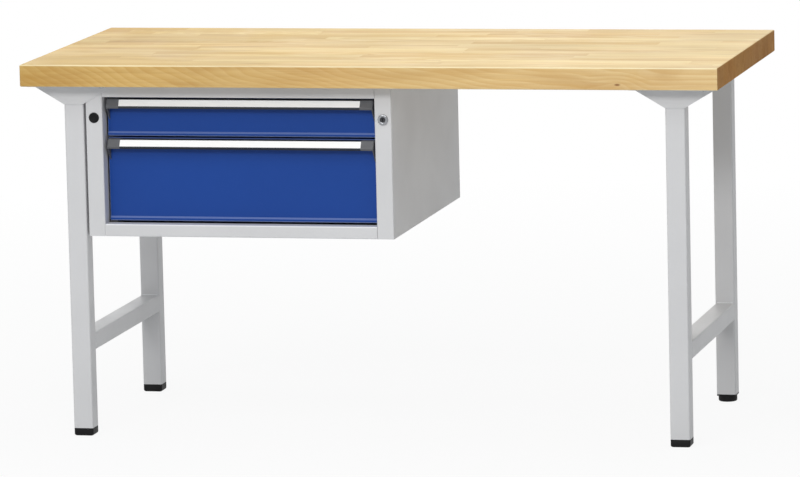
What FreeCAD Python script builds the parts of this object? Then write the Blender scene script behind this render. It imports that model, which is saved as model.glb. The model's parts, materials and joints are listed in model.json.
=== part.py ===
"""Combination workbench: a laminated slab on a steel frame, with a hanging two-drawer cabinet.

Millimetres, +Z up, +X to the user's right, -Y towards the user. The origin is on the floor, under
the middle of the slab.
"""
import FreeCAD
import Part
import math
import os

Vector = FreeCAD.Vector

# Bench top
top_length = 1600.0
top_depth = 750.0
top_thickness = 50.0
bench_height = 860.0
top_arris = 3.0

# Legs and tubes
leg_size = 45.0
tube_wall = 2.0
tube_corner = 4.0
end_overhang = 85.0
front_overhang = 60.0
stretcher_height = 40.0
stretcher_level = 213.0
top_tube_size = 40.0

# Gussets at the leg tops
gusset_plate = 3.0
gusset_height = 46.0
gusset_wing = 78.0
gusset_flange = 34.0
gusset_bend = 2.0
gusset_corner = 5.0

# Foot caps
foot_height = 18.0
foot_sole_round = 5.0
foot_corner_cut = 2.5
foot_stem_length = 30.0
foot_stem_inset = 4.0
foot_rib_thickness = 2.5
foot_rib_count = 3
foot_fit = 0.3

# Wood screws
screw_diameter = 5.0
screw_head_width = 10.0
screw_head_height = 3.5
screw_bite = 30.0
screw_hole_clearance = 0.4
screw_hole_spare = 2.0
screw_edge_distance = 28.0
screw_sides = 12
hexagon_sides = 6

# Cabinet sheet metal
cabinet_width = 712.0
cabinet_height = 348.0
cabinet_rear_inset = 10.0
cabinet_leg_gap = 5.0
sheet = 1.5
sheet_bend = 1.5
stile_width = 39.0
stile_return = 36.0
top_rail_height = 30.0
bottom_rail_height = 28.0
rail_return = 30.0
back_flange = 15.0
panel_corner = 5.0
cabinet_screw_inset = 92.0

# Drawers
front_gap = 4.0
upper_front_height = 88.0
front_recess = 34.0
front_return = 15.0
band_height = 7.0
band_step = 3.0
tray_rear_gap = 44.5
tray_rise = 6.0
tray_drop = 16.0
tray_hem = 8.0
back_drop = 10.0

# Grip rails
grip_side_gap = 2.0
grip_cap_length = 30.0
grip_cap_round = 2.5
grip_cheek = 3.0
grip_cheek_drop = 28.0
grip_wall = 2.0
grip_bend = 1.0
grip_top_drop = 1.0
grip_back_flange = 15.0
grip_top_depth = 17.0
grip_slope_depth = 9.5
grip_slope_height = 18.0
grip_lip_depth = 2.5
grip_lip_height = 4.0
label_thickness = 0.8
label_height = 15.8
label_start = 2.4

# Telescopic runners
runner_thickness = 12.7
runner_height = 45.0
runner_rear_gap = 55.0
runner_setback = 65.0
runner_rise = 28.0
rail_sheet = 1.5
bearing_gap = 0.4
outer_lip_height = 3.0
outer_lip_setback = 1.7
middle_web_start = 6.5
middle_flange_start = 2.0
middle_arm_half = 15.6
middle_arm_end = 0.7
middle_lip = 2.0
inner_head = 1.8

# Runner posts
post_width = 40.0
front_post_setback = 88.0
rear_post_setback = 60.0

# Hole plug and lock
lock_drop = 77.0
plug_head_diameter = 24.0
plug_head_height = 2.5
plug_head_edge = 2.0
plug_stem_diameter = 18.0
plug_stem_length = 10.0
stile_hole_clearance = 0.4
lock_head_diameter = 24.0
lock_head_height = 4.0
lock_head_edge = 1.5
lock_body_diameter = 18.0
lock_body_length = 30.0
lock_nut_size = 26.0
lock_nut_height = 4.0
barrel_diameter = 12.0
barrel_running_gap = 0.08
barrel_recess = 1.0
key_slot_width = 1.6
key_slot_height = 7.0
key_slot_depth = 6.0
cam_diameter = 22.0
cam_thickness = 3.0
cam_pin_diameter = 4.0
cam_pin_radius = 7.5
cam_start_angle = 135.0
pin_slot_gap = 0.35

# Lock bar, its guides and the drawer catches
bar_width = 17.0
bar_thickness = 3.0
bar_side_gap = 4.0
bar_setback = 53.0
bar_cam_gap = 2.0
bar_foot = 5.0
bar_head = 4.0
finger_height = 10.0
finger_lift = 40.0
finger_tray_gap = 4.0
guide_height = 14.0
guide_wall = 3.0
guide_gap = 0.3
lower_guide_rise = 25.0
upper_guide_drop = 60.0
catch_bottom = 25.0
catch_height = 12.0
catch_reach = 8.0
catch_length = 22.0
catch_plate = 1.5
catch_hook = 2.0
catch_play = 0.5

# Slack in comparing the places of edges
tolerance = 1e-6

# Places that several pieces share
slab_z = bench_height - top_thickness
leg_outer_x = top_length / 2 - end_overhang
leg_centre_x = leg_outer_x - leg_size / 2
leg_inner_x = leg_outer_x - leg_size
leg_front_y = -top_depth / 2 + front_overhang
leg_gap_y = -leg_front_y - leg_size

cabinet_x0 = -leg_inner_x + cabinet_leg_gap
cabinet_x1 = cabinet_x0 + cabinet_width
cabinet_mid_x = (cabinet_x0 + cabinet_x1) / 2
cabinet_y0 = leg_front_y
cabinet_y1 = top_depth / 2 - cabinet_rear_inset
cabinet_z0 = slab_z - cabinet_height
cabinet_z1 = slab_z
opening_x0 = cabinet_x0 + stile_width
opening_x1 = cabinet_x1 - stile_width
opening_z0 = cabinet_z0 + bottom_rail_height
opening_z1 = cabinet_z1 - top_rail_height

front_x0 = opening_x0 + front_gap
front_x1 = opening_x1 - front_gap
front_y = cabinet_y0 + front_recess
upper_front_z1 = opening_z1 - front_gap
upper_front_z0 = upper_front_z1 - upper_front_height
lower_front_z1 = upper_front_z0 - front_gap
lower_front_z0 = opening_z0 + front_gap

runner_y0 = cabinet_y0 + runner_setback
runner_y1 = cabinet_y1 - runner_rear_gap
runner_wall_x = front_x1 - bearing_gap
tray_x1 = runner_wall_x - runner_thickness
tray_x0 = 2 * cabinet_mid_x - tray_x1
tray_y0 = front_y + sheet
tray_y1 = cabinet_y1 - tray_rear_gap
front_post_y = cabinet_y0 + front_post_setback
rear_post_y = cabinet_y1 - rear_post_setback - post_width

lock_x = cabinet_x1 - stile_width / 2
plug_x = cabinet_x0 + stile_width / 2
lock_z = cabinet_z1 - lock_drop
bar_y0 = cabinet_y0 + bar_setback
bar_y1 = bar_y0 + bar_thickness
bar_x0 = opening_x1 + bar_side_gap
bar_x1 = bar_x0 + bar_width
cam_y1 = bar_y0 - bar_cam_gap
cam_y0 = cam_y1 - cam_thickness
pin_rest_x = lock_x + cam_pin_radius * math.cos(math.radians(cam_start_angle))
pin_rest_z = lock_z + cam_pin_radius * math.sin(math.radians(cam_start_angle))
bar_travel = 2 * (pin_rest_z - lock_z)


def runner_level(front_z0):
    """Height of a drawer's runner centre line, from the foot of its front."""
    return front_z0 + tray_rise + runner_rise


def block(x0, x1, y0, y1, z0, z1):
    """A block between two corners."""
    return Part.makeBox(x1 - x0, y1 - y0, z1 - z0, Vector(x0, y0, z0))


def along_y(diameter, x, y0, y1, z):
    """A round bar along Y."""
    return Part.makeCylinder(diameter / 2, y1 - y0, Vector(x, y0, z), Vector(0, 1, 0))


def placed(axis, station, u, v):
    """The point at (u, v) in the plane across an axis, at a station along it."""
    if axis == "X":
        return Vector(station, u, v)
    if axis == "Y":
        return Vector(u, station, v)
    return Vector(u, v, station)


def outline(corners, axis, station):
    """A closed wire through (u, v, radius) corners, each rounded to its radius."""
    stops = []
    for index, (u, v, radius) in enumerate(corners):
        before = corners[index - 1]
        after = corners[(index + 1) % len(corners)]
        corner = Vector(u, v, 0)
        arriving = (corner - Vector(before[0], before[1], 0)).normalize()
        leaving = (Vector(after[0], after[1], 0) - corner).normalize()
        turn = arriving.getAngle(leaving)
        if radius <= 0 or turn < tolerance:
            stops.append((corner, corner, corner))
            continue
        reach = radius * math.tan(turn / 2)
        inward = (leaving - arriving).normalize()
        middle = corner + inward * (radius / math.cos(turn / 2) - radius)
        stops.append((corner - arriving * reach, middle, corner + leaving * reach))
    edges = []
    for index, (start, middle, end) in enumerate(stops):
        previous_end = stops[index - 1][2]
        points = [placed(axis, station, p.x, p.y) for p in (previous_end, start, middle, end)]
        if (points[1] - points[0]).Length > tolerance:
            edges.append(Part.LineSegment(points[0], points[1]).toShape())
        if (points[3] - points[1]).Length > tolerance:
            edges.append(Part.Arc(points[1], points[2], points[3]).toShape())
    return Part.Wire(edges)


def prism(corners, axis, start, end):
    """A solid with the rounded outline of corners, from start to end along an axis."""
    face = Part.Face(outline(corners, axis, start))
    return face.extrude(placed(axis, end, 0, 0) - placed(axis, start, 0, 0))


def rectangle(u0, u1, v0, v1, radius):
    """Corners of a rectangle, all rounded alike."""
    return [(u0, v0, radius), (u1, v0, radius), (u1, v1, radius), (u0, v1, radius)]


def clipped(u0, u1, v0, v1, cut):
    """Corners of a rectangle whose own corners are cut off straight."""
    return [
        (u0 + cut, v0, 0), (u1 - cut, v0, 0), (u1, v0 + cut, 0), (u1, v1 - cut, 0),
        (u1 - cut, v1, 0), (u0 + cut, v1, 0), (u0, v1 - cut, 0), (u0, v0 + cut, 0),
    ]


def polygon(u, v, width, sides):
    """Corners of a regular polygon with that width across its flats."""
    radius = width / 2 / math.cos(math.pi / sides)
    turns = [math.tau * index / sides for index in range(sides)]
    return [(u + radius * math.cos(turn), v + radius * math.sin(turn), 0) for turn in turns]


def flat_sided(rings):
    """A solid with flat faces from ring to ring, each ring a loop of as many corners."""
    loops = [rings[0], rings[-1]]
    for lower, upper in zip(rings, rings[1:]):
        for index in range(len(lower)):
            loops.append([lower[index - 1], lower[index], upper[index], upper[index - 1]])
    faces = [Part.Face(Part.makePolygon(loop + loop[:1])) for loop in loops]
    return Part.makeSolid(Part.makeShell(faces))


def folded(path, thickness, bend):
    """Corners of a sheet folded along a path, its thickness to the path's left."""
    points = [Vector(u, v, 0) for u, v in path]
    headings = [(b - a).normalize() for a, b in zip(points, points[1:])]
    lefts = [Vector(-h.y, h.x, 0) for h in headings]
    face_side = [(points[0].x, points[0].y, 0)]
    first = points[0] + lefts[0] * thickness
    back_side = [(first.x, first.y, 0)]
    for index in range(1, len(points) - 1):
        turns_left = headings[index - 1].cross(headings[index]).z > 0
        mitre = lefts[index - 1] + lefts[index]
        shift = mitre * (thickness / (1 + lefts[index - 1].dot(lefts[index])))
        corner = points[index] + shift
        outer, inner = bend + thickness, bend
        face_side.append((points[index].x, points[index].y, outer if turns_left else inner))
        back_side.append((corner.x, corner.y, inner if turns_left else outer))
    last = points[-1] + lefts[-1] * thickness
    face_side.append((points[-1].x, points[-1].y, 0))
    back_side.append((last.x, last.y, 0))
    return face_side + back_side[::-1]


def tube(u0, u1, v0, v1, axis, start, end):
    """A square or rectangular tube along an axis."""
    inner = rectangle(u0 + tube_wall, u1 - tube_wall, v0 + tube_wall, v1 - tube_wall, 0)
    skin = prism(rectangle(u0, u1, v0, v1, tube_corner), axis, start, end)
    return skin.cut(prism(inner, axis, start, end))


def mirrored_x(shape, middle=0.0):
    """The shape mirrored left to right about a plane."""
    return shape.mirror(Vector(middle, 0, 0), Vector(1, 0, 0))


def mirrored_y(shape):
    """The shape mirrored front to back about the bench's middle plane."""
    return shape.mirror(Vector(0, 0, 0), Vector(0, 1, 0))


def fuse_all(shapes):
    """One solid from touching shapes."""
    return shapes[0].multiFuse(shapes[1:]).removeSplitter()


def gusset_screw_spots():
    """Screw places in one front gusset's flange, from the leg's centre line."""
    reach = leg_size / 2 + gusset_wing - screw_edge_distance
    y = leg_front_y - gusset_plate - gusset_flange / 2
    return [(-reach, y), (reach, y)]


def screw_places():
    """Every wood screw as (x, y, height of the face its head bears on)."""
    places = []
    for side in (-1, 1):
        for depth in (-1, 1):
            for offset, y in gusset_screw_spots():
                behind_cabinet = side < 0 and depth > 0 and offset > 0
                if not behind_cabinet:
                    places.append((side * leg_centre_x + offset, -depth * y, slab_z - gusset_plate))
    for x in (cabinet_x0 + cabinet_screw_inset, cabinet_x1 - cabinet_screw_inset):
        for y in (cabinet_y0 + cabinet_screw_inset, cabinet_y1 - cabinet_screw_inset):
            places.append((x, y, slab_z - sheet))
    return places


def drilled(shape):
    """The shape with a clearance hole for every wood screw that passes through it."""
    top = slab_z + screw_bite + screw_hole_spare
    width = screw_diameter + screw_hole_clearance
    holes = [prism(polygon(x, y, width, screw_sides), "Z", z, top) for x, y, z in screw_places()]
    return shape.cut(Part.makeCompound(holes))


def wood_screws():
    """The hexagon-head wood screws that hold gussets and cabinet to the slab."""
    screws = []
    for x, y, z in screw_places():
        head = prism(polygon(x, y, screw_head_width, hexagon_sides), "Z", z - screw_head_height, z)
        shank = prism(polygon(x, y, screw_diameter, screw_sides), "Z", z, slab_z + screw_bite)
        screws.append(head.fuse(shank))
    return Part.makeCompound(screws)


def bench_top():
    """The laminated slab, with softened arrises and blind screw holes."""
    slab = block(-top_length / 2, top_length / 2, -top_depth / 2, top_depth / 2, slab_z, bench_height)
    return drilled(slab.makeFillet(top_arris, slab.Edges))


def leg(x_sign, y_sign):
    """One square leg, from its foot cap to the slab."""
    x = x_sign * leg_centre_x
    y = y_sign * (leg_gap_y + leg_size / 2)
    half = leg_size / 2
    return tube(x - half, x + half, y - half, y + half, "Z", foot_height, slab_z)


def stretcher(x_sign):
    """The lower tube that joins a front leg to a rear leg."""
    x = x_sign * leg_centre_x
    half = leg_size / 2
    z0 = stretcher_level - stretcher_height / 2
    return tube(x - half, x + half, z0, z0 + stretcher_height, "Y", -leg_gap_y, leg_gap_y)


def top_tube(x_sign):
    """The upper tube under the slab, between a front leg and a rear leg."""
    x = x_sign * leg_centre_x
    half = top_tube_size / 2
    return tube(x - half, x + half, slab_z - top_tube_size, slab_z, "Y", -leg_gap_y, leg_gap_y)


def gusset(x_sign, y_sign, inner_wing):
    """A folded plate that spreads a leg top under the slab, with a flange for its screws."""
    half = leg_size / 2
    left = -half - gusset_wing
    right = half + inner_wing
    z0 = slab_z - gusset_height
    y_back = leg_front_y
    y_front = y_back - gusset_plate
    wing_shape = [(left, slab_z, 0), (-half, z0, 0), (half, z0, 0), (right, slab_z, 0)]
    plate = prism(wing_shape, "Y", y_front, y_back)
    y_edge = y_back - gusset_plate - gusset_flange
    flange_shape = [
        (left, y_back, 0),
        (left, y_edge + gusset_corner, 0),
        (left + gusset_corner, y_edge, 0),
        (right - gusset_corner, y_edge, 0),
        (right, y_edge + gusset_corner, 0),
        (right, y_back, 0),
    ]
    flange = prism(flange_shape, "Z", slab_z - gusset_plate, slab_z)
    bracket = plate.fuse(flange).removeSplitter()
    crease = [
        e for e in bracket.Edges
        if abs(e.BoundBox.YMin - y_front) < tolerance
        and abs(e.BoundBox.YMax - y_front) < tolerance
        and abs(e.BoundBox.ZMin - slab_z + gusset_plate) < tolerance
        and abs(e.BoundBox.ZMax - slab_z + gusset_plate) < tolerance
    ]
    bracket = bracket.makeFillet(gusset_bend, crease)
    if x_sign > 0:
        bracket = mirrored_x(bracket)
    bracket.translate(Vector(x_sign * leg_centre_x, 0, 0))
    if y_sign > 0:
        bracket = mirrored_y(bracket)
    return drilled(bracket)


def foot(x_sign, y_sign):
    """A plastic cap under a leg, with a rounded sole and a ribbed stem that grips inside the tube."""
    x = x_sign * leg_centre_x
    y = y_sign * (leg_gap_y + leg_size / 2)
    half = leg_size / 2
    bulge = foot_sole_round * (1 - math.cos(math.pi / 4))
    rings = []
    for z, inset in ((0, foot_sole_round), (bulge, bulge), (foot_sole_round, 0), (foot_height, 0)):
        side = half - inset
        corners = clipped(x - side, x + side, y - side, y + side, foot_corner_cut * side / half)
        rings.append([Vector(u, v, z) for u, v, _ in corners])
    cap = flat_sided(rings)
    rib_half = half - tube_wall - foot_fit
    stem_half = rib_half - foot_stem_inset
    rib_cut = tube_corner - tube_wall
    stem_top = foot_height + foot_stem_length
    pieces = [cap, block(x - stem_half, x + stem_half, y - stem_half, y + stem_half, foot_height, stem_top)]
    pitch = foot_stem_length / foot_rib_count
    for index in range(foot_rib_count):
        z = foot_height + pitch * (index + 0.5)
        rib = clipped(x - rib_half, x + rib_half, y - rib_half, y + rib_half, rib_cut)
        pieces.append(prism(rib, "Z", z, z + foot_rib_thickness))
    return fuse_all(pieces)


def cabinet_left_side():
    """The left side sheet, folded into the stile, the stile's return and the rear flange."""
    path = [
        (cabinet_x0 + back_flange, cabinet_y1),
        (cabinet_x0, cabinet_y1),
        (cabinet_x0, cabinet_y0),
        (opening_x0, cabinet_y0),
        (opening_x0, cabinet_y0 + stile_return),
    ]
    side = prism(folded(path, sheet, sheet_bend), "Z", cabinet_z0, cabinet_z1)
    for z in (cabinet_z0, cabinet_z1 - sheet):
        bay = block(cabinet_x0 + sheet, opening_x0, cabinet_y0 + sheet, cabinet_y1 - sheet, z, z + sheet)
        side = side.cut(bay)
    return side


def stile_hole(x, diameter):
    """The cutter for a round hole through a stile."""
    return along_y(diameter + stile_hole_clearance, x, cabinet_y0 - sheet, cabinet_y0 + 2 * sheet, lock_z)


def panel_wings(z):
    """The flat sheet of a cabinet top or bottom, behind the stiles."""
    x0, x1 = cabinet_x0 + sheet, cabinet_x1 - sheet
    corners = clipped(x0, x1, cabinet_y0 + sheet, cabinet_y1 - sheet, panel_corner)
    return prism(corners, "Z", z, z + sheet)


def cabinet_top():
    """The top sheet, folded down into the upper front rail."""
    path = [
        (cabinet_y1 - sheet - panel_corner, cabinet_z1),
        (cabinet_y0, cabinet_z1),
        (cabinet_y0, opening_z1),
        (cabinet_y0 + rail_return, opening_z1),
    ]
    rail = prism(folded(path, sheet, sheet_bend), "X", opening_x0, opening_x1)
    return drilled(rail.fuse(panel_wings(cabinet_z1 - sheet)).removeSplitter())


def cabinet_bottom():
    """The bottom sheet, folded up into the lower front rail."""
    path = [
        (cabinet_y0 + rail_return, opening_z0),
        (cabinet_y0, opening_z0),
        (cabinet_y0, cabinet_z0),
        (cabinet_y1 - sheet - panel_corner, cabinet_z0),
    ]
    rail = prism(folded(path, sheet, sheet_bend), "X", opening_x0, opening_x1)
    return rail.fuse(panel_wings(cabinet_z0)).removeSplitter()


def cabinet_back():
    """The flat back sheet, inside the rear flanges."""
    inset = sheet + sheet_bend
    y1 = cabinet_y1 - sheet
    return block(cabinet_x0 + inset, cabinet_x1 - inset, y1 - sheet, y1, cabinet_z0 + sheet, cabinet_z1 - sheet)


def hole_plug():
    """The black plug that closes the spare lock hole in the left stile."""
    head = along_y(plug_head_diameter, plug_x, cabinet_y0 - plug_head_height, cabinet_y0, lock_z)
    rim = [e for e in head.Edges if e.BoundBox.YMax < cabinet_y0 - plug_head_height + tolerance]
    head = head.makeChamfer(plug_head_edge, rim)
    stem = along_y(plug_stem_diameter, plug_x, cabinet_y0, cabinet_y0 + plug_stem_length, lock_z)
    return head.fuse(stem)


def lock_housing():
    """The lock's fixed sleeve, with a round head on the face of the right stile."""
    head = along_y(lock_head_diameter, lock_x, cabinet_y0 - lock_head_height, cabinet_y0, lock_z)
    rim = [e for e in head.Edges if e.BoundBox.YMax < cabinet_y0 - lock_head_height + tolerance]
    head = head.makeChamfer(lock_head_edge, rim)
    body = along_y(lock_body_diameter, lock_x, cabinet_y0, cabinet_y0 + lock_body_length, lock_z)
    bore = along_y(
        barrel_diameter + 2 * barrel_running_gap,
        lock_x, cabinet_y0 - lock_head_height, cabinet_y0 + lock_body_length, lock_z,
    )
    return head.fuse(body).cut(bore)


def lock_nut():
    """The hexagonal nut that clamps the lock behind the stile."""
    y0 = cabinet_y0 + sheet
    nut = prism(polygon(lock_x, lock_z, lock_nut_size, hexagon_sides), "Y", y0, y0 + lock_nut_height)
    hole = along_y(lock_body_diameter + stile_hole_clearance, lock_x, y0, y0 + lock_nut_height, lock_z)
    return nut.cut(hole)


def lock_barrel():
    """The turning barrel, with its key slot."""
    y0 = cabinet_y0 - lock_head_height + barrel_recess
    barrel = along_y(barrel_diameter, lock_x, y0, cam_y0, lock_z)
    half_width = key_slot_width / 2
    half_height = key_slot_height / 2
    slot = block(
        lock_x - half_width, lock_x + half_width, y0, y0 + key_slot_depth,
        lock_z - half_height, lock_z + half_height,
    )
    return barrel.cut(slot)


def lock_cam():
    """The disc on the barrel's end, whose pin drives the lock bar."""
    disc = along_y(cam_diameter, lock_x, cam_y0, cam_y1, lock_z)
    pin = along_y(cam_pin_diameter, pin_rest_x, cam_y1, bar_y1 + bar_cam_gap, pin_rest_z)
    return disc.fuse(pin)


def finger_levels():
    """Heights of the undersides of the lock bar's fingers, lower drawer first."""
    return [runner_level(z0) + finger_lift for z0 in (lower_front_z0, upper_front_z0)]


def lock_bar():
    """The sliding bar, with a finger for each drawer's catch and a cross slot for the cam pin."""
    z0 = opening_z0 + bar_travel + bar_foot
    z1 = finger_levels()[-1] + finger_height + bar_head
    pieces = [block(bar_x0, bar_x1, bar_y0, bar_y1, z0, z1)]
    for z in finger_levels():
        pieces.append(block(tray_x1 + finger_tray_gap, bar_x0, bar_y0, bar_y1, z, z + finger_height))
    slot_half = cam_pin_diameter / 2 + pin_slot_gap
    slot = block(
        lock_x - cam_pin_radius - slot_half, pin_rest_x + slot_half, bar_y0, bar_y1,
        pin_rest_z - slot_half, pin_rest_z + slot_half,
    )
    return fuse_all(pieces).cut(slot)


def lock_bar_guides():
    """Two blocks on the front post that the lock bar slides through."""
    guides = []
    lowest = opening_z0 + bar_travel + bar_foot
    for z in (lowest + lower_guide_rise, lock_z - upper_guide_drop):
        z0, z1 = z - guide_height / 2, z + guide_height / 2
        guide = block(
            bar_x0 - guide_wall, bar_x1 + guide_wall, bar_y0 - guide_wall, front_post_y, z0, z1)
        window = block(
            bar_x0 - guide_gap, bar_x1 + guide_gap, bar_y0 - guide_gap, bar_y1 + guide_gap, z0, z1)
        guides.append(guide.cut(window))
    return Part.makeCompound(guides)


def right_runner_posts():
    """The channels inside the right wall that carry the outer rails."""
    wall_x = cabinet_x1 - sheet
    posts = []
    for y in (front_post_y, rear_post_y):
        path = [
            (wall_x, y + post_width),
            (runner_wall_x, y + post_width),
            (runner_wall_x, y),
            (wall_x, y),
        ]
        section = folded(path, sheet, sheet_bend)
        posts.append(prism(section, "Z", cabinet_z0 + sheet, cabinet_z1 - sheet))
    return Part.makeCompound(posts)


def rail_prism(boxes, level):
    """A right-hand rail from (u0, u1, v0, v1) boxes, u from the post wall and v from the centre line."""
    pieces = []
    for u0, u1, v0, v1 in boxes:
        pieces.append(block(
            runner_wall_x - u1, runner_wall_x - u0, runner_y0, runner_y1, level + v0, level + v1))
    return fuse_all(pieces)


def both_edges(u0, u1, v0, v1):
    """A box above the centre line and its twin below."""
    return [(u0, u1, v0, v1), (u0, u1, -v1, -v0)]


def outer_rail(level):
    """The cabinet's rail: a channel whose lips hold the middle rail."""
    half = runner_height / 2
    lip_end = runner_thickness - outer_lip_setback
    boxes = [(0, rail_sheet, -half, half)]
    boxes += both_edges(0, lip_end, half - rail_sheet, half)
    boxes += both_edges(lip_end - rail_sheet, lip_end, half - rail_sheet - outer_lip_height, half)
    return rail_prism(boxes, level)


def middle_rail(level):
    """The rail that follows at half speed, held in the outer rail and holding the inner rail."""
    half = runner_height / 2 - rail_sheet - bearing_gap
    web_end = middle_web_start + rail_sheet
    arm_end = runner_thickness - middle_arm_end
    arm_inner = middle_arm_half - rail_sheet
    boxes = [(middle_web_start, web_end, -half, half)]
    boxes += both_edges(middle_flange_start, web_end, half - rail_sheet, half)
    boxes += both_edges(middle_web_start, arm_end, arm_inner, middle_arm_half)
    boxes += both_edges(arm_end - rail_sheet, arm_end, arm_inner - middle_lip, middle_arm_half)
    return rail_prism(boxes, level)


def inner_rail(level):
    """The drawer's rail: a channel whose head runs inside the middle rail."""
    head_start = middle_web_start + rail_sheet + bearing_gap
    head_half = middle_arm_half - rail_sheet - bearing_gap
    neck_half = head_half - middle_lip
    head_end = head_start + inner_head
    boxes = [(head_start, head_end, -head_half, head_half)]
    boxes += both_edges(head_start, runner_thickness, neck_half - rail_sheet, neck_half)
    return rail_prism(boxes, level)


def drawer_front(z0, z1):
    """The blue front: a folded pan with a stepped band along its lower edge."""
    path = [
        (front_y + front_return, z1),
        (front_y, z1),
        (front_y, z0 + band_height + band_step),
        (front_y - band_step, z0 + band_height),
        (front_y - band_step, z0),
        (front_y + front_return, z0),
    ]
    pan = prism(folded(path, sheet, sheet_bend), "X", front_x0, front_x1)
    ends = []
    for x in (front_x0, front_x1 - sheet):
        end = block(x, x + sheet, front_y + sheet, front_y + front_return, z0 + sheet, z1 - sheet)
        ends.append(end)
    return fuse_all([pan] + ends)


def drawer_tray(z0, z1):
    """The drawer's bottom and sides, folded from one sheet, with hemmed top edges."""
    bottom, top = z0 + tray_rise, z1 - tray_drop
    path = [
        (tray_x0 + tray_hem, top),
        (tray_x0, top),
        (tray_x0, bottom),
        (tray_x1, bottom),
        (tray_x1, top),
        (tray_x1 - tray_hem, top),
    ]
    return prism(folded(path, sheet, sheet_bend), "Y", tray_y0, tray_y1)


def drawer_back(z0, z1):
    """The plate that closes the tray's rear end."""
    inset = sheet + sheet_bend
    bottom = z0 + tray_rise + sheet
    top = z1 - tray_drop - back_drop
    plate = block(tray_x0 + sheet, tray_x1 - sheet, tray_y1 - sheet, tray_y1, bottom, top)
    corners = [
        e for e in plate.Edges
        if e.BoundBox.YLength > sheet / 2 and abs(e.BoundBox.ZMax - bottom) < tolerance
    ]
    return plate.makeChamfer(inset, corners)


def grip_path(z1):
    """The grip rail's outer line, from its back flange over the top to its lip."""
    top = z1 - grip_top_drop
    nose_y = front_y - grip_top_depth - grip_slope_depth
    nose_z = top - grip_slope_height
    return [
        (front_y, top - grip_back_flange),
        (front_y, top),
        (front_y - grip_top_depth, top),
        (nose_y, nose_z),
        (nose_y + grip_lip_depth, nose_z - grip_lip_height),
    ]


def label_outline(z1):
    """Corners of the label strip's section, let into the grip rail's sloping face."""
    start, end = Vector(*grip_path(z1)[2], 0), Vector(*grip_path(z1)[3], 0)
    down = (end - start).normalize()
    inward = Vector(-down.y, down.x, 0)
    upper = start + down * label_start
    lower = upper + down * label_height
    corners = [upper, lower, lower + inward * label_thickness, upper + inward * label_thickness]
    return [(p.x, p.y, 0) for p in corners]


grip_x0 = front_x0 + grip_side_gap
grip_x1 = front_x1 - grip_side_gap
rail_x0 = grip_x0 + grip_cap_length
rail_x1 = grip_x1 - grip_cap_length


def label_strip(z1):
    """The white strip in the grip rail."""
    return prism(label_outline(z1), "X", rail_x0, rail_x1)


def grip_rail(z1):
    """The extruded grip: a downward hook with a sloping face and a seat for the label strip."""
    section = folded(grip_path(z1), grip_wall, grip_bend)
    return prism(section, "X", rail_x0, rail_x1).cut(label_strip(z1))


def grip_caps(z1):
    """The moulded ends of the grip rail, each with a thin cheek down to the drawer front."""
    back, top, shoulder, nose, lip = grip_path(z1)
    rounding = grip_wall + grip_bend
    section = [(*back, 0), (*top, 0), (*shoulder, rounding), (*nose, rounding), (*lip, 0)]
    cheek = [(*back, 0), (*lip, 0), (front_y, lip[1] - grip_cheek_drop, 0)]
    left = fuse_all([
        prism(section, "X", grip_x0, rail_x0),
        prism(cheek, "X", grip_x0, grip_x0 + grip_cheek),
    ])
    outer_edges = [
        e for e in left.Edges
        if e.BoundBox.XMax < grip_x0 + tolerance and e.BoundBox.YMin < front_y - tolerance
    ]
    left = left.makeFillet(grip_cap_round, outer_edges)
    return Part.makeCompound([left, mirrored_x(left, cabinet_mid_x)])


def lock_catch(z0):
    """The hook on the drawer's side that the lock bar's finger stops."""
    level = runner_level(z0) + catch_bottom
    hook_y = bar_y1 + catch_play
    base = block(
        tray_x1, tray_x1 + catch_plate, hook_y, hook_y + catch_length, level, level + catch_height)
    hook = block(
        tray_x1, tray_x1 + catch_reach, hook_y, hook_y + catch_hook, level, level + catch_height)
    return base.fuse(hook).removeSplitter()


def frame_nodes():
    """The slab and the steel frame under it."""
    nodes = {"bench_top": bench_top(), "top_screws": wood_screws()}
    for x_name, x_sign in (("left", -1), ("right", 1)):
        nodes[x_name + "_stretcher"] = stretcher(x_sign)
        nodes[x_name + "_top_tube"] = top_tube(x_sign)
        for y_name, y_sign in (("front", -1), ("rear", 1)):
            corner = y_name + "_" + x_name
            beside_cabinet = x_sign < 0 and y_sign > 0
            nodes[corner + "_leg"] = leg(x_sign, y_sign)
            nodes[corner + "_foot"] = foot(x_sign, y_sign)
            nodes[corner + "_gusset"] = gusset(x_sign, y_sign, 0.0 if beside_cabinet else gusset_wing)
    return nodes


def cabinet_nodes():
    """The cabinet's sheets, runner posts, plug and lock."""
    left = cabinet_left_side()
    right = mirrored_x(left, cabinet_mid_x)
    return {
        "cabinet_left_side": left.cut(stile_hole(plug_x, plug_stem_diameter)),
        "cabinet_right_side": right.cut(stile_hole(lock_x, lock_body_diameter)),
        "cabinet_top": cabinet_top(),
        "cabinet_bottom": cabinet_bottom(),
        "cabinet_back": cabinet_back(),
        "left_runner_posts": mirrored_x(right_runner_posts(), cabinet_mid_x),
        "right_runner_posts": right_runner_posts(),
        "hole_plug": hole_plug(),
        "lock_housing": lock_housing(),
        "lock_nut": lock_nut(),
        "lock_barrel": lock_barrel(),
        "lock_cam": lock_cam(),
        "lock_bar": lock_bar(),
        "lock_bar_guides": lock_bar_guides(),
    }


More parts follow.
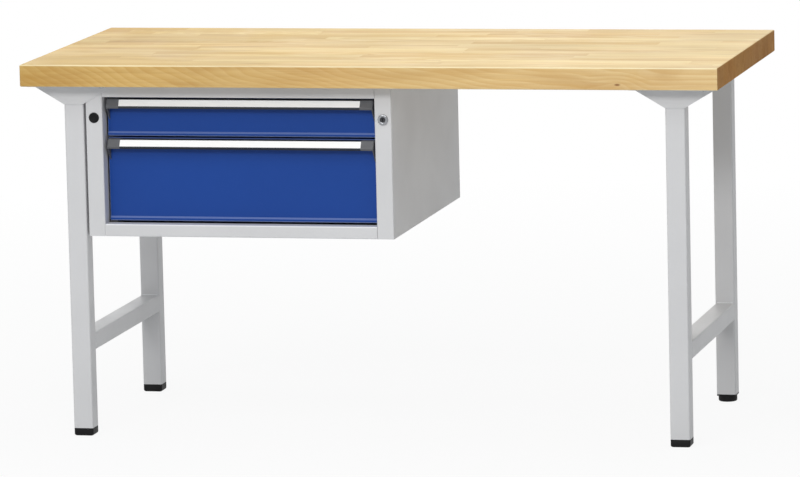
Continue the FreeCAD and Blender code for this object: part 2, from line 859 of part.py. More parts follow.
def drawer_nodes(name, z0, z1):
    """One drawer with its grip, its runners and its lock catch."""
    level = runner_level(z0)
    nodes = {
        name + "_drawer_front": drawer_front(z0, z1),
        name + "_drawer_tray": drawer_tray(z0, z1),
        name + "_drawer_back": drawer_back(z0, z1),
        name + "_grip_rail": grip_rail(z1),
        name + "_label_strip": label_strip(z1),
        name + "_grip_caps": grip_caps(z1),
        name + "_lock_catch": lock_catch(z0),
    }
    for member, shape in (("outer", outer_rail), ("middle", middle_rail), ("inner", inner_rail)):
        rail = shape(level)
        nodes[name + "_right_" + member + "_rail"] = rail
        nodes[name + "_left_" + member + "_rail"] = mirrored_x(rail, cabinet_mid_x)
    return nodes


def main():
    """Build every piece and write one STEP file for each."""
    os.makedirs("parts", exist_ok=True)
    nodes = frame_nodes()
    nodes.update(cabinet_nodes())
    nodes.update(drawer_nodes("upper", upper_front_z0, upper_front_z1))
    nodes.update(drawer_nodes("lower", lower_front_z0, lower_front_z1))
    for name, shape in nodes.items():
        if not shape.isValid() or shape.Volume <= 0:
            raise ValueError("bad solid: " + name)
        shape.exportStep("parts/" + name + ".step")
        print(name, len(shape.Solids), round(shape.Volume))


main()
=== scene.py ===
"""Looks of the combination workbench: finishes, fine metalwork, studio and camera.

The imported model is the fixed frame. Everything is in metres, +Z up, +X to the user's right and -Y
towards the user.
"""

import json
import logging
import math
from collections.abc import Callable
from dataclasses import dataclass
from enum import Enum

import bmesh
import bpy
from mathutils import Matrix, Vector


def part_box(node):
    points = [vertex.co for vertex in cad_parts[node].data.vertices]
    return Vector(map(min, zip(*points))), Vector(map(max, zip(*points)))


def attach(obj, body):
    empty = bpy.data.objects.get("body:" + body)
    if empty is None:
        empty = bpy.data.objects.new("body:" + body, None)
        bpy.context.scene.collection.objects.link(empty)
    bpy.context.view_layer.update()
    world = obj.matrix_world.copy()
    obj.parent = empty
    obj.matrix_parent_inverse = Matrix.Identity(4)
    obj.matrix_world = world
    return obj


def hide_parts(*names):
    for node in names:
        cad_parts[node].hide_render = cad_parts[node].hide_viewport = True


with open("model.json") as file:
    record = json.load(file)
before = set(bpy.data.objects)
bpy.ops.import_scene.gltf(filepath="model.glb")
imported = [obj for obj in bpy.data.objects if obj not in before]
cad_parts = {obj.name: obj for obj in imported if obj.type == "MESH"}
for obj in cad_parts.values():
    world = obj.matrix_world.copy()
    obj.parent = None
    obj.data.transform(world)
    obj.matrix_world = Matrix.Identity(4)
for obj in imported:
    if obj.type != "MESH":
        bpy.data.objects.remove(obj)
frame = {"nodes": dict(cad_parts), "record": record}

log = logging.getLogger("workbench")
Node = bpy.types.Node
Piece = bpy.types.Object
Socket = bpy.types.NodeSocket
Tree = bpy.types.NodeTree
Colour = tuple[float, float, float, float]
Triple = tuple[float, float, float]
Span = tuple[float, float]
Profile = list[Span]
Box = tuple[Vector, Vector]
Spot = tuple[Vector, Vector]
Surface = tuple[Socket, Socket, Socket]

MILLIMETRE = 0.001
BENCH = "bench"
SIDES = ("left", "right")
LEVELS = ("upper", "lower")
# Points nearer than this are one point.
SAME_POINT = 1e-7
# Where most of a noise pattern lies.
NOISE_BODY: Span = (0.3, 0.7)
# How alike the rounded and the true normal are where an edge's wear and painted highlight begin and where
# they are full.
EDGE_LIKENESS: Span = (0.995, 0.86)
# Where in its noise a break in the rubbing, a smudge or a scuff starts and ends.
BREAK_BODY: Span = (0.35, 0.65)
SMUDGE_BODY: Span = (0.35, 0.7)
SCUFF_BODY: Span = (0.7, 0.78)
# Share of the rubbing that is left in a break.
BREAK_LEAVES = 0.35
# Scuffs in a metre, by axis.
SCUFF_CELLS: Triple = (40.0, 300.0, 900.0)
# Broad streaks for each fine line of a brushing.
BROAD_LINES: Triple = (0.21, 0.21, 0.21)


def shade(red: int, green: int, blue: int) -> Colour:
    """A screen colour, 0 to 255 a channel, as the linear colour that a shader takes.

    Args:
        red: Red on screen.
        green: Green on screen.
        blue: Blue on screen.

    Returns:
        Linear red, green and blue, with full alpha.
    """
    linear = []
    for level in (red, green, blue):
        part = level / 255
        linear.append(part / 12.92 if part <= 0.04045 else ((part + 0.055) / 1.055) ** 2.4)
    return (*linear, 1.0)


class NodeSheet:
    """Places and links the nodes of one tree."""

    def __init__(self, tree: Tree) -> None:
        """Start on a tree."""
        self.tree = tree

    def add(self, kind: str, feeds: dict[str | int, object] | None = None, **settings: object) -> Node:
        """Place a node.

        Args:
            kind: The node's type name.
            feeds: What its inputs get, by their names or numbers.
            settings: Properties to set on it first.

        Returns:
            The new node.
        """
        node = self.tree.nodes.new(kind)
        for name, value in settings.items():
            setattr(node, name, value)
        for key, value in (feeds or {}).items():
            self.feed(node.inputs[key], value)
        return node

    def feed(self, socket: Socket, value: object) -> None:
        """Link a socket to another one, or set its constant.

        Args:
            socket: The input to fill.
            value: An output socket, or a plain value.
        """
        if isinstance(value, Socket):
            self.tree.links.new(value, socket)
        else:
            socket.default_value = value

    def maths(self, operation: str, *values: object) -> Socket:
        """A Math node on sockets or numbers, in order."""
        return self.add("ShaderNodeMath", dict(enumerate(values)), operation=operation).outputs[0]

    def plus(self, first: object, second: object) -> Socket:
        """One value and another."""
        return self.maths("ADD", first, second)

    def minus(self, first: object, second: object) -> Socket:
        """One value less another."""
        return self.maths("SUBTRACT", first, second)

    def times(self, first: object, second: object) -> Socket:
        """One value times another."""
        return self.maths("MULTIPLY", first, second)

    def over(self, first: object, second: object) -> Socket:
        """One value divided by another."""
        return self.maths("DIVIDE", first, second)

    def larger(self, first: object, second: object) -> Socket:
        """The larger of two values."""
        return self.maths("MAXIMUM", first, second)

    def vector(self, operation: str, *values: object) -> Socket:
        """A Vector Math node on sockets or triples: a vector, or the number of a length or dot product."""
        node = self.add("ShaderNodeVectorMath", dict(enumerate(values)), operation=operation)
        return node.outputs["Value" if operation in ("DOT_PRODUCT", "LENGTH") else "Vector"]

    def noise(self, place: Socket, cells: object, detail: float = 2.0, warp: float = 0.0) -> Socket:
        """A noise pattern, about 0 to 1.

        Args:
            place: Where the pattern is read.
            cells: Cells in a metre, as one value or as a triple by axis.
            detail: Octaves of finer noise.
            warp: How much the pattern is distorted.

        Returns:
            The pattern's value.
        """
        if isinstance(cells, tuple):
            return self.noise(self.vector("MULTIPLY", place, cells), 1.0, detail, warp)
        feeds = {"Vector": place, "Scale": cells, "Detail": detail, "Distortion": warp}
        return self.add("ShaderNodeTexNoise", feeds).outputs["Fac"]

    def span(self, value: object, low: float, high: float, start: float = 0.0, end: float = 1.0) -> Socket:
        """Map a value from one span to another, and hold it there.

        Args:
            value: What is mapped.
            low: Where the first span starts.
            high: Where the first span ends.
            start: What low becomes.
            end: What high becomes.

        Returns:
            The mapped value.
        """
        feeds = {"Value": value, "From Min": low, "From Max": high, "To Min": start, "To Max": end}
        return self.add("ShaderNodeMapRange", feeds).outputs["Result"]

    def mix(self, factor: object, first: object, second: object, blend: str = "MIX") -> Socket:
        """Mix two colours.

        Args:
            factor: Share of the second colour.
            first: Colour at 0.
            second: Colour at 1.
            blend: How they blend.

        Returns:
            The mixed colour.
        """
        node = self.add("ShaderNodeMix", {"Factor": factor}, data_type="RGBA", blend_type=blend)
        colours = [socket for socket in node.inputs if socket.type == "RGBA"]
        self.feed(colours[0], first)
        self.feed(colours[1], second)
        return next(socket for socket in node.outputs if socket.type == "RGBA")

    def choose(self, factor: object, first: object, second: object) -> Socket:
        """Mix two numbers.

        Args:
            factor: Share of the second number.
            first: Number at 0.
            second: Number at 1.

        Returns:
            The mixed number.
        """
        node = self.add("ShaderNodeMix", data_type="FLOAT")
        numbers = [socket for socket in node.inputs if socket.type == "VALUE"]
        for socket, value in zip(numbers, (factor, first, second)):
            self.feed(socket, value)
        return next(socket for socket in node.outputs if socket.type == "VALUE")

    def split(self, vector: Socket) -> tuple[Socket, ...]:
        """The three parts of a vector."""
        return tuple(self.add("ShaderNodeSeparateXYZ", {0: vector}).outputs)

    def join(self, *parts: object) -> Socket:
        """A vector from its three parts."""
        return self.add("ShaderNodeCombineXYZ", dict(enumerate(parts))).outputs[0]

    def toned(self, colour: object, level: Socket) -> Socket:
        """A colour made darker or lighter by a level."""
        return self.mix(1.0, colour, self.join(level, level, level), "MULTIPLY")

    def chance(self, seed: Socket) -> tuple[Socket, ...]:
        """Three values from 0 to 1 that a number draws, the same each time."""
        drawn = self.add("ShaderNodeTexWhiteNoise", {"W": seed}, noise_dimensions="1D")
        return self.split(drawn.outputs["Color"])

    def bump(self, height: Socket, depth: float) -> Socket:
        """A normal that follows a height pattern, with a relief in metres."""
        feeds = {"Height": height, "Strength": 1.0, "Distance": depth}
        return self.add("ShaderNodeBump", feeds).outputs["Normal"]


class Effect(Enum):
    """Surface effects that several finishes share, each a shader node group."""

    PEEL = "Coat peel"
    # Edge mask: wear on every finish that uses it, and painted highlight on the powder coats.
    EDGES = "Rubbed edges"
    BRUSHING = "Brushed lines"
    HANDLING = "Handling marks"

    def group(self) -> Tree:
        """The effect's node group, built the first time it is asked for.

        Returns:
            The group.
        """
        found = bpy.data.node_groups.get(self.value)
        if found:
            return found
        tree = bpy.data.node_groups.new(self.value, "ShaderNodeTree")
        builders: dict[Effect, Callable[[NodeSheet], None]] = {
            Effect.PEEL: peel_nodes,
            Effect.EDGES: edge_nodes,
            Effect.BRUSHING: brushing_nodes,
            Effect.HANDLING: handling_nodes,
        }
        builders[self](NodeSheet(tree))
        return tree

    def place(self, sheet: NodeSheet, **values: object) -> dict[str, Socket]:
        """Put the effect in a material.

        Args:
            sheet: The material's nodes.
            values: The group's inputs by name, with spaces as underscores.

        Returns:
            The group's outputs by name.
        """
        feeds = {name.replace("_", " "): value for name, value in values.items()}
        node = sheet.add("ShaderNodeGroup", feeds, node_tree=self.group())
        return {socket.name: socket for socket in node.outputs}


def group_ends(sheet: NodeSheet, inputs: dict[str, str], outputs: dict[str, str]) -> tuple[Node, Node]:
    """Declare a group's sockets and place its two end nodes.

    Args:
        sheet: The group's nodes.
        inputs: Names and kinds of its inputs.
        outputs: Names and kinds of its outputs.

    Returns:
        The group's input node and output node.
    """
    for direction, sockets in (("INPUT", inputs), ("OUTPUT", outputs)):
        for name, kind in sockets.items():
            sheet.tree.interface.new_socket(name=name, in_out=direction, socket_type="NodeSocket" + kind)
    return sheet.add("NodeGroupInput"), sheet.add("NodeGroupOutput")


def object_place(sheet: NodeSheet) -> Socket:
    """Where a point is on its object."""
    return sheet.add("ShaderNodeTexCoord").outputs["Object"]


def peel_nodes(sheet: NodeSheet) -> None:
    """Fill the group for a coat's fine peel and slow drift of tone.

    Args:
        sheet: The group's nodes.
    """
    inputs = {"Pitch": "Float", "Drift Size": "Float"}
    start, end = group_ends(sheet, inputs, {"Height": "Float", "Drift": "Float"})
    place = object_place(sheet)
    for size, detail, name in (("Pitch", 1.5, "Height"), ("Drift Size", 3.0, "Drift")):
        cells = sheet.over(1.0, start.outputs[size])
        sheet.feed(end.inputs[name], sheet.noise(place, cells, detail))


def edge_nodes(sheet: NodeSheet) -> None:
    """Fill the group for a mask along sharp edges, broken up as rubbing leaves it; on powder coats it carries
    painted highlight as well as wear.

    Args:
        sheet: The group's nodes.
    """
    start, end = group_ends(sheet, {"Width": "Float", "Break Size": "Float"}, {"Mask": "Float"})
    rounded = sheet.add("ShaderNodeBevel", {"Radius": start.outputs["Width"]}, samples=6)
    true_normal = sheet.add("ShaderNodeNewGeometry").outputs["Normal"]
    likeness = sheet.vector("DOT_PRODUCT", rounded.outputs["Normal"], true_normal)
    cells = sheet.over(1.0, start.outputs["Break Size"])
    broken = sheet.span(sheet.noise(object_place(sheet), cells, detail=4.0), *BREAK_BODY, BREAK_LEAVES)
    sheet.feed(end.inputs["Mask"], sheet.times(sheet.span(likeness, *EDGE_LIKENESS), broken))


def brushing_nodes(sheet: NodeSheet) -> None:
    """Fill the group for fine lines drawn out along one direction.

    Args:
        sheet: The group's nodes.
    """
    start, end = group_ends(sheet, {"Line Scale": "Vector"}, {"Height": "Float", "Tone": "Float"})
    drawn = sheet.vector("MULTIPLY", object_place(sheet), start.outputs["Line Scale"])
    sheet.feed(end.inputs["Height"], sheet.noise(drawn, 1.0, detail=3.0))
    sheet.feed(end.inputs["Tone"], sheet.noise(drawn, BROAD_LINES))


def handling_nodes(sheet: NodeSheet) -> None:
    """Fill the group for soft smudges and short fine scuffs.

    Args:
        sheet: The group's nodes.
    """
    start, end = group_ends(sheet, {"Smudge Size": "Float"}, {"Smudge": "Float", "Scuff": "Float"})
    place = object_place(sheet)
    cells = sheet.over(1.0, start.outputs["Smudge Size"])
    smudge = sheet.noise(place, cells, detail=4.0, warp=0.6)
    sheet.feed(end.inputs["Smudge"], sheet.span(smudge, *SMUDGE_BODY))
    streaks = sheet.noise(place, SCUFF_CELLS, detail=1.0)
    sheet.feed(end.inputs["Scuff"], sheet.span(streaks, *SCUFF_BODY))


@dataclass(frozen=True, kw_only=True)
class Finish:
    """What every finish has: a shader, handling marks and a fine relief.

    Attributes:
        name: The finish's name.
        roughness: Its middle roughness.
        dulling: The most that its pattern adds to the roughness, downwards and upwards.
        smudge: Size of a smudge.
        relief: Depth of its texture.
        gloss: Its specular level.
        metal: 1 for bare metal, 0 for anything else.
    """

    name: str
    roughness: float
    dulling: Span
    smudge: float
    relief: float
    gloss: float = 0.5
    metal: float = 0.0

    def material(self) -> bpy.types.Material:
        """Make the finish.

        Returns:
            The material.
        """
        material = bpy.data.materials.new(self.name)
        material.use_nodes = True
        sheet = NodeSheet(material.node_tree)
        shader = material.node_tree.nodes["Principled BSDF"].inputs
        shader["Specular IOR Level"].default_value = self.gloss
        shader["Metallic"].default_value = self.metal
        marks = Effect.HANDLING.place(sheet, Smudge_Size=self.smudge)
        colour, roughness, height = self.surface(sheet, marks)
        sheet.feed(shader["Base Color"], colour)
        sheet.feed(shader["Roughness"], roughness)
        sheet.feed(shader["Normal"], sheet.bump(height, self.relief))
        return material

    def surface(self, sheet: NodeSheet, marks: dict[str, Socket]) -> Surface:
        """Draw the colour, the roughness and the height, each finish in its own way."""
        raise NotImplementedError

    def dulled(self, sheet: NodeSheet, pattern: Socket, low: float = 0.0, high: float = 1.0) -> Socket:
        """The roughness where a pattern runs from low to high."""
        least, most = (self.roughness + change for change in self.dulling)
        return sheet.span(pattern, low, high, least, most)


@dataclass(frozen=True, kw_only=True)
class PowderCoat(Finish):
    """A baked powder coat: fine peel, slow drift of tone, edges paler from wear and painted highlight, folds
    paler from painted highlight.

    Attributes:
        colour: The coat's colour.
        rubbed_and_highlight: Its colour along worn edges and on folds, partly wear and partly painted
            highlight.
        edge: Width of the paler edges, worn and with painted highlight.
        fold_highlight: How far the painted highlight pales the coat along folds that face up, and along folds
            that face down.
        peel: Pitch of the peel.
        drift: Size of the slow drift of tone.
        tones: Darkest and lightest level of that drift.
        rub_run: Size of the breaks in the rubbing.
        rub_share: Share of the edge colour along an edge, wear and painted highlight together.
        scuffed: What a scuff adds to the roughness.
        up_fold_highlight: Slants where the painted highlight begins and is full, on folds that face up.
        down_fold_highlight: The same, on folds that face down.
    """

    colour: Colour
    rubbed_and_highlight: Colour
    edge: float
    fold_highlight: Span
    dulling: Span = (-0.04, 0.05)
    smudge: float = 90 * MILLIMETRE
    relief: float = 0.012 * MILLIMETRE
    peel: float = 1.6 * MILLIMETRE
    drift: float = 230 * MILLIMETRE
    tones: Span = (0.965, 1.02)
    rub_run: float = 12 * MILLIMETRE
    rub_share: float = 0.7
    scuffed: float = 0.08
    up_fold_highlight: Span = (-0.16, -0.36)
    down_fold_highlight: Span = (0.15, 0.42)

    def surface(self, sheet: NodeSheet, marks: dict[str, Socket]) -> Surface:
        """Draw the coat.

        Args:
            sheet: The material's nodes.
            marks: The handling marks.

        Returns:
            Colour, roughness and height.
        """
        peel = Effect.PEEL.place(sheet, Pitch=self.peel, Drift_Size=self.drift)
        edges = Effect.EDGES.place(sheet, Width=self.edge, Break_Size=self.rub_run)
        level = sheet.span(peel["Drift"], *NOISE_BODY, *self.tones)
        # Edges pale for wear and painted highlight; folds pale for painted highlight only.
        paled = sheet.larger(sheet.times(edges["Mask"], self.rub_share), self.fold_highlight_mask(sheet))
        colour = sheet.mix(paled, sheet.toned(self.colour, level), self.rubbed_and_highlight)
        scuffs = sheet.times(marks["Scuff"], self.scuffed)
        return colour, sheet.plus(self.dulled(sheet, marks["Smudge"]), scuffs), peel["Height"]

    def fold_highlight_mask(self, sheet: NodeSheet) -> Socket:
        """How far the coat pales on the level folds of a sheet that faces the user.

        Args:
            sheet: The material's nodes.

        Returns:
            The share of the painted highlight's colour, 0 on the flats.
        """
        # Painted highlight: folds slanted up or down towards the user are paled as if they caught the light.
        _, back, up = sheet.split(sheet.add("ShaderNodeTexCoord").outputs["Normal"])
        slant = sheet.times(back, up)
        above = sheet.span(slant, *self.up_fold_highlight, 0.0, self.fold_highlight[0])
        below = sheet.span(slant, *self.down_fold_highlight, 0.0, self.fold_highlight[1])
        return sheet.larger(above, below)


@dataclass(frozen=True, kw_only=True)
class DrawnMetal(Finish):
    """A bare or plated metal with fine lines along the way it was drawn.

    Attributes:
        colour: The metal's colour.
        dull: Its colour where the plating is duller.
        lines: Cells of the lines in a metre, by axis.
        smudged: What a smudge adds to the roughness.
        depths: Heights in the pattern between which most lines lie.
    """

    colour: Colour
    dull: Colour
    lines: Triple
    dulling: Span = (-0.05, 0.06)
    smudge: float = 30 * MILLIMETRE
    relief: float = 0.004 * MILLIMETRE
    metal: float = 1.0
    smudged: float = 0.05
    depths: Span = (0.2, 0.8)

    def surface(self, sheet: NodeSheet, marks: dict[str, Socket]) -> Surface:
        """Draw the metal.

        Args:
            sheet: The material's nodes.
            marks: The handling marks.

        Returns:
            Colour, roughness and height.
        """
        drawn = Effect.BRUSHING.place(sheet, Line_Scale=self.lines)
        colour = sheet.mix(sheet.span(drawn["Tone"], *NOISE_BODY), self.colour, self.dull)
        roughness = self.dulled(sheet, drawn["Height"], *self.depths)
        return colour, sheet.plus(roughness, sheet.times(marks["Smudge"], self.smudged)), drawn["Height"]


@dataclass(frozen=True, kw_only=True)
class MouldedPlastic(Finish):
    """An injection moulding with a fine spark-eroded texture and paler worn edges.

    Attributes:
        colour: The plastic's colour.
        worn: Its colour along edges, and of the dust on it.
        texture: Pitch of the moulded texture.
        drift: Size of the dusty patches.
        dust: Share of the dust's colour.
        dust_body: Where in the drift the dust begins and is full.
        edge: Width of the worn edges.
        wear_run: Size of the breaks in the wear.
        wear_share: Share of the worn colour along an edge.
    """

    colour: Colour
    worn: Colour
    dulling: Span = (-0.06, 0.07)
    smudge: float = 25 * MILLIMETRE
    relief: float = 0.02 * MILLIMETRE
    texture: float = 0.7 * MILLIMETRE
    drift: float = 40 * MILLIMETRE
    dust: float = 0.22
    dust_body: Span = (0.45, 0.8)
    edge: float = 0.8 * MILLIMETRE
    wear_run: float = 6 * MILLIMETRE
    wear_share: float = 0.4

    def surface(self, sheet: NodeSheet, marks: dict[str, Socket]) -> Surface:
        """Draw the plastic.

        Args:
            sheet: The material's nodes.
            marks: The handling marks.

        Returns:
            Colour, roughness and height.
        """
        skin = Effect.PEEL.place(sheet, Pitch=self.texture, Drift_Size=self.drift)
        edges = Effect.EDGES.place(sheet, Width=self.edge, Break_Size=self.wear_run)
        dusty = sheet.span(skin["Drift"], *self.dust_body, 0.0, self.dust)
        paled = sheet.larger(sheet.times(edges["Mask"], self.wear_share), dusty)
        return sheet.mix(paled, self.colour, self.worn), self.dulled(sheet, marks["Smudge"]), skin["Height"]


@dataclass(frozen=True, kw_only=True)
class LabelCard(Finish):
    """A smooth white insert strip with a faint fibre and slightly grey handling.

    Attributes:
        colour: The strip's white.
        handled: Its tone where it is handled.
        fibre: Pitch of the fibre.
        drift: Size of the handled patches.
        handled_share: Share of their tone.
        handled_body: Where in the drift a patch begins and is full.
    """

    colour: Colour
    handled: Colour
    dulling: Span = (-0.05, 0.08)
    smudge: float = 70 * MILLIMETRE
    relief: float = 0.006 * MILLIMETRE
    fibre: float = 0.4 * MILLIMETRE
    drift: float = 120 * MILLIMETRE
    handled_share: float = 0.35
    handled_body: Span = (0.4, 0.75)

    def surface(self, sheet: NodeSheet, marks: dict[str, Socket]) -> Surface:
        """Draw the strip.

        Args:
            sheet: The material's nodes.
            marks: The handling marks.

        Returns:
            Colour, roughness and height.
        """
        fibre = Effect.PEEL.place(sheet, Pitch=self.fibre, Drift_Size=self.drift)
        handled = sheet.span(fibre["Drift"], *self.handled_body, 0.0, self.handled_share)
        colour = sheet.mix(handled, self.colour, self.handled)
        return colour, self.dulled(sheet, marks["Smudge"]), fibre["Height"]


@dataclass(frozen=True)
class StavePiece:
    """The piece of a stave that a point of the slab lies in.

    Attributes:
        across: The point's place across the slab, in staves.
        along: Its place along the slab, in pieces.
        seed: Number that draws the piece's figure.
        tone: How warm the piece is.
        lean: How far away its pith lies and how the rings taper.
        pith: Which way its pith lies.
    """

    across: Socket
    along: Socket
    seed: Socket
    tone: Socket
    lean: Socket
    pith: Socket


@dataclass(frozen=True, kw_only=True)
class LaminatedBeech(Finish):
    """Oiled beech staves glued side by side, as one solid pattern through the slab.

    Attributes:
        pale: Colour of the early wood.
        warm: Colour of the late wood.
        deep: Colour of the darkest streaks and flecks.
        arris: Colour of the painted highlight on the upper arrises.
        knot_brown: Colour of the knot.
        raw: Colour of the underside, which isn't oiled.
        end_tint: What end grain multiplies the colours by.
        tone_and_light_fade: What red, green and blue are multiplied by at the slab's left end and right end:
            paler and cooler to the right, partly the wood's tone and partly painted light.
        stave: Width of a stave.
        run: Middle length of a stave's pieces.
        runs: Shortest and longest piece, in middle lengths.
        ring: Pitch of the growth rings.
        draw: Seed that draws each piece's tone and figure.
        front: Tone, lean and pith of the front stave, which is one full-length piece.
        tone_share: Share of the piece's tone in its warmth; the rings have the rest.
        pith_reach: Nearest and farthest pith.
        taper: How strongly the rings run out along a piece.
        wander_cells: Slow bends of the rings in a metre, by axis.
        wander: How far those bends go.
        late: Where in a ring the late wood is full.
        fibre_cells: Fibres in a metre, by axis.
        fleck_cells: Flecks in a metre, by axis.
        cloud_cells: Clouds of tone in a metre, by axis.
        cloud_tones: Darkest and lightest cloud.
        glue_line: Half the width of a glue line.
        knot: Place of a small knot in the front stave.
        knot_draw: How far the knot is drawn out, by axis.
        knot_reach: Distances from the knot's middle where its brown ends and where it is full.
        knot_bend: Distance from the knot where the rings begin to bend round it, and how far.
        fibre_share: Share of the deep colour in a fibre.
        glue_share: Share of the deep colour on a glue line.
        glue_depth: Depth of a glue line, in fibre depths.
        knot_share: Share of the knot's brown.
        arris_highlight_shares: Share of the painted highlight's colour between fibres, and on them.
        arris_gloss: What the arris takes off the roughness, where its highlight is painted.
        end_dulling: What end grain adds to the roughness.
        raw_share: Share of the underside's colour.
    """

    pale: Colour
    warm: Colour
    deep: Colour
    arris: Colour
    knot_brown: Colour
    raw: Colour
    end_tint: Colour
    tone_and_light_fade: tuple[Span, Span, Span]
    stave: float
    run: float
    ring: float
    draw: float
    front: Triple
    knot: Triple
    dulling: Span = (-0.05, 0.07)
    smudge: float = 160 * MILLIMETRE
    relief: float = 0.05 * MILLIMETRE
    runs: Span = (0.7, 1.4)
    tone_share: float = 0.55
    pith_reach: Span = (45 * MILLIMETRE, 130 * MILLIMETRE)
    taper: float = 0.14
    wander_cells: Triple = (2.6, 9.0, 9.0)
    wander: float = 30 * MILLIMETRE
    late: float = 0.86
    fibre_cells: Triple = (5.0, 330.0, 330.0)
    fleck_cells: Triple = (120.0, 1000.0, 1000.0)
    cloud_cells: Triple = (2.4, 5.5, 5.5)
    cloud_tones: Span = (0.9, 1.09)
    glue_line: float = 0.35 * MILLIMETRE
    knot_draw: Triple = (0.4, 1.0, 1.0)
    knot_reach: Span = (3.2 * MILLIMETRE, 1.3 * MILLIMETRE)
    knot_bend: Span = (30 * MILLIMETRE, 12 * MILLIMETRE)
    fibre_share: float = 0.25
    glue_share: float = 0.3
    glue_depth: float = 0.6
    knot_share: float = 0.85
    arris_highlight_shares: Span = (0.78, 0.42)
    arris_gloss: float = 0.15
    end_dulling: float = 0.2
    raw_share: float = 0.7

    def surface(self, sheet: NodeSheet, marks: dict[str, Socket]) -> Surface:
        """Draw the slab.

        Args:
            sheet: The material's nodes.
            marks: The handling marks.

        Returns:
            Colour, roughness and height.
        """
        low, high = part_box("bench_top")
        coordinates = sheet.add("ShaderNodeTexCoord").outputs
        place = coordinates["Object"]
        x, y, _ = sheet.split(place)
        piece = self.piece_at(sheet, x, sheet.over(sheet.minus(y, low.y), self.stave))
        from_knot = sheet.vector("MULTIPLY", sheet.vector("SUBTRACT", place, self.knot), self.knot_draw)
        eye = sheet.vector("LENGTH", from_knot)
        rings = self.ring_pattern(sheet, place, piece, eye)
        fibre = sheet.noise(place, self.fibre_cells, detail=3.0)
        seam = self.seam_mask(sheet, piece)

        warmth = sheet.plus(
            sheet.times(piece.tone, self.tone_share), sheet.times(rings, 1.0 - self.tone_share))
        colour = sheet.mix(sheet.span(warmth, -0.05, 1.0), self.pale, self.warm)
        colour = self.figure(sheet, colour, place, piece.seed)
        colour = sheet.mix(sheet.span(fibre, 0.45, 0.75, 0.0, self.fibre_share), colour, self.deep)
        colour = sheet.mix(sheet.times(seam, self.glue_share), colour, self.deep)
        colour = sheet.mix(sheet.span(eye, *self.knot_reach, 0.0, self.knot_share), colour, self.knot_brown)
        # Paler and cooler towards the right end: partly the wood's tone, partly painted light that grows to
        # the right.
        tone_and_light_gradient = sheet.join(*(sheet.span(x, low.x, high.x, *ends) for ends in self.tone_and_light_fade))
        colour = sheet.mix(1.0, colour, tone_and_light_gradient, "MULTIPLY")

        # Which way a face turns says whether it is an arris, end grain or the underside; the arris gets a
        # painted highlight.
        to_right, to_back, to_top = sheet.split(coordinates["Normal"])
        upper_edge = sheet.maths("MINIMUM", sheet.maths("ABSOLUTE", to_back), to_top)
        # Painted highlight along the upper arrises, as if they caught the light.
        arris_highlight = sheet.times(
            sheet.span(upper_edge, 0.05, 0.3), sheet.span(fibre, *NOISE_BODY, *self.arris_highlight_shares))
        end_grain = sheet.span(sheet.maths("ABSOLUTE", to_right), 0.55, 0.85)
        colour = sheet.mix(arris_highlight, colour, self.arris)
        colour = sheet.mix(end_grain, colour, sheet.mix(1.0, colour, self.end_tint, "MULTIPLY"))
        colour = sheet.mix(sheet.span(to_top, -0.5, -0.9, 0.0, self.raw_share), colour, self.raw)
        dull = sheet.plus(self.dulled(sheet, marks["Smudge"]), sheet.times(end_grain, self.end_dulling))
        roughness = sheet.minus(dull, sheet.times(arris_highlight, self.arris_gloss))
        return colour, roughness, sheet.minus(fibre, sheet.times(seam, self.glue_depth))

    def piece_at(self, sheet: NodeSheet, x: Socket, across: Socket) -> StavePiece:
        """Find the piece of a stave that a point lies in.

        Args:
            sheet: The material's nodes.
            x: The point's place along the slab.
            across: Its place across the slab, in staves.

        Returns:
            The piece.
        """
        index = sheet.maths("FLOOR", across)
        in_front = sheet.maths("LESS_THAN", index, 0.5)
        # The odd numbers keep the draws of neighbouring staves and pieces apart.
        shift, stretch, _ = sheet.chance(sheet.plus(index, 0.37))
        run = sheet.span(stretch, 0.0, 1.0, *(self.run * share for share in self.runs))
        along = sheet.plus(sheet.over(x, run), sheet.times(shift, 3.0))
        along = sheet.choose(in_front, along, 0.5)
        number = sheet.plus(sheet.times(sheet.maths("FLOOR", along), 3.17), self.draw)
        seed = sheet.plus(sheet.times(index, 7.31), number)
        drawn = zip(sheet.chance(seed), self.front)
        tone, lean, pith = (sheet.choose(in_front, usual, chosen) for usual, chosen in drawn)
        return StavePiece(across, along, seed, tone, lean, pith)

    def figure(self, sheet: NodeSheet, colour: Socket, place: Socket, seed: Socket) -> Socket:
        """Lay the soft streaks, flames, flecks and clouds of tone over the wood's colour.

        Args:
            sheet: The material's nodes.
            colour: The wood's colour without them.
            place: Where the pattern is read.
            seed: Number of the stave's piece.

        Returns:
            The figured colour.
        """
        apart = sheet.join(sheet.times(seed, 2.3), seed, 0.0)
        # Streaks in a metre by axis, where one begins and is full, its strength and its colour.
        layers = (
            ((2.6, 19.0, 19.0), (0.53, 0.8), 0.55, self.deep),
            ((2.6, 19.0, 19.0), (0.46, 0.22), 0.65, self.pale),
            ((1.9, 64.0, 64.0), (0.5, 0.76), 0.3, self.deep),
            ((4.2, 17.0, 17.0), (0.6, 0.74), 0.6, self.warm),
        )
        for cells, (begins, full), strength, tint in layers:
            drawn_out = sheet.vector("ADD", sheet.vector("MULTIPLY", place, cells), apart)
            streak = sheet.noise(drawn_out, 1.0, detail=3.0, warp=0.8)
            colour = sheet.mix(sheet.span(streak, begins, full, 0.0, strength), colour, tint)
            apart = sheet.vector("ADD", apart, (0.0, 0.0, 5.3))
        fleck = sheet.noise(place, self.fleck_cells, detail=1.0)
        colour = sheet.mix(sheet.span(fleck, 0.66, 0.74, 0.0, 0.3), colour, self.deep)
        cloud = sheet.noise(place, self.cloud_cells)
        return sheet.toned(colour, sheet.span(cloud, *NOISE_BODY, *self.cloud_tones))

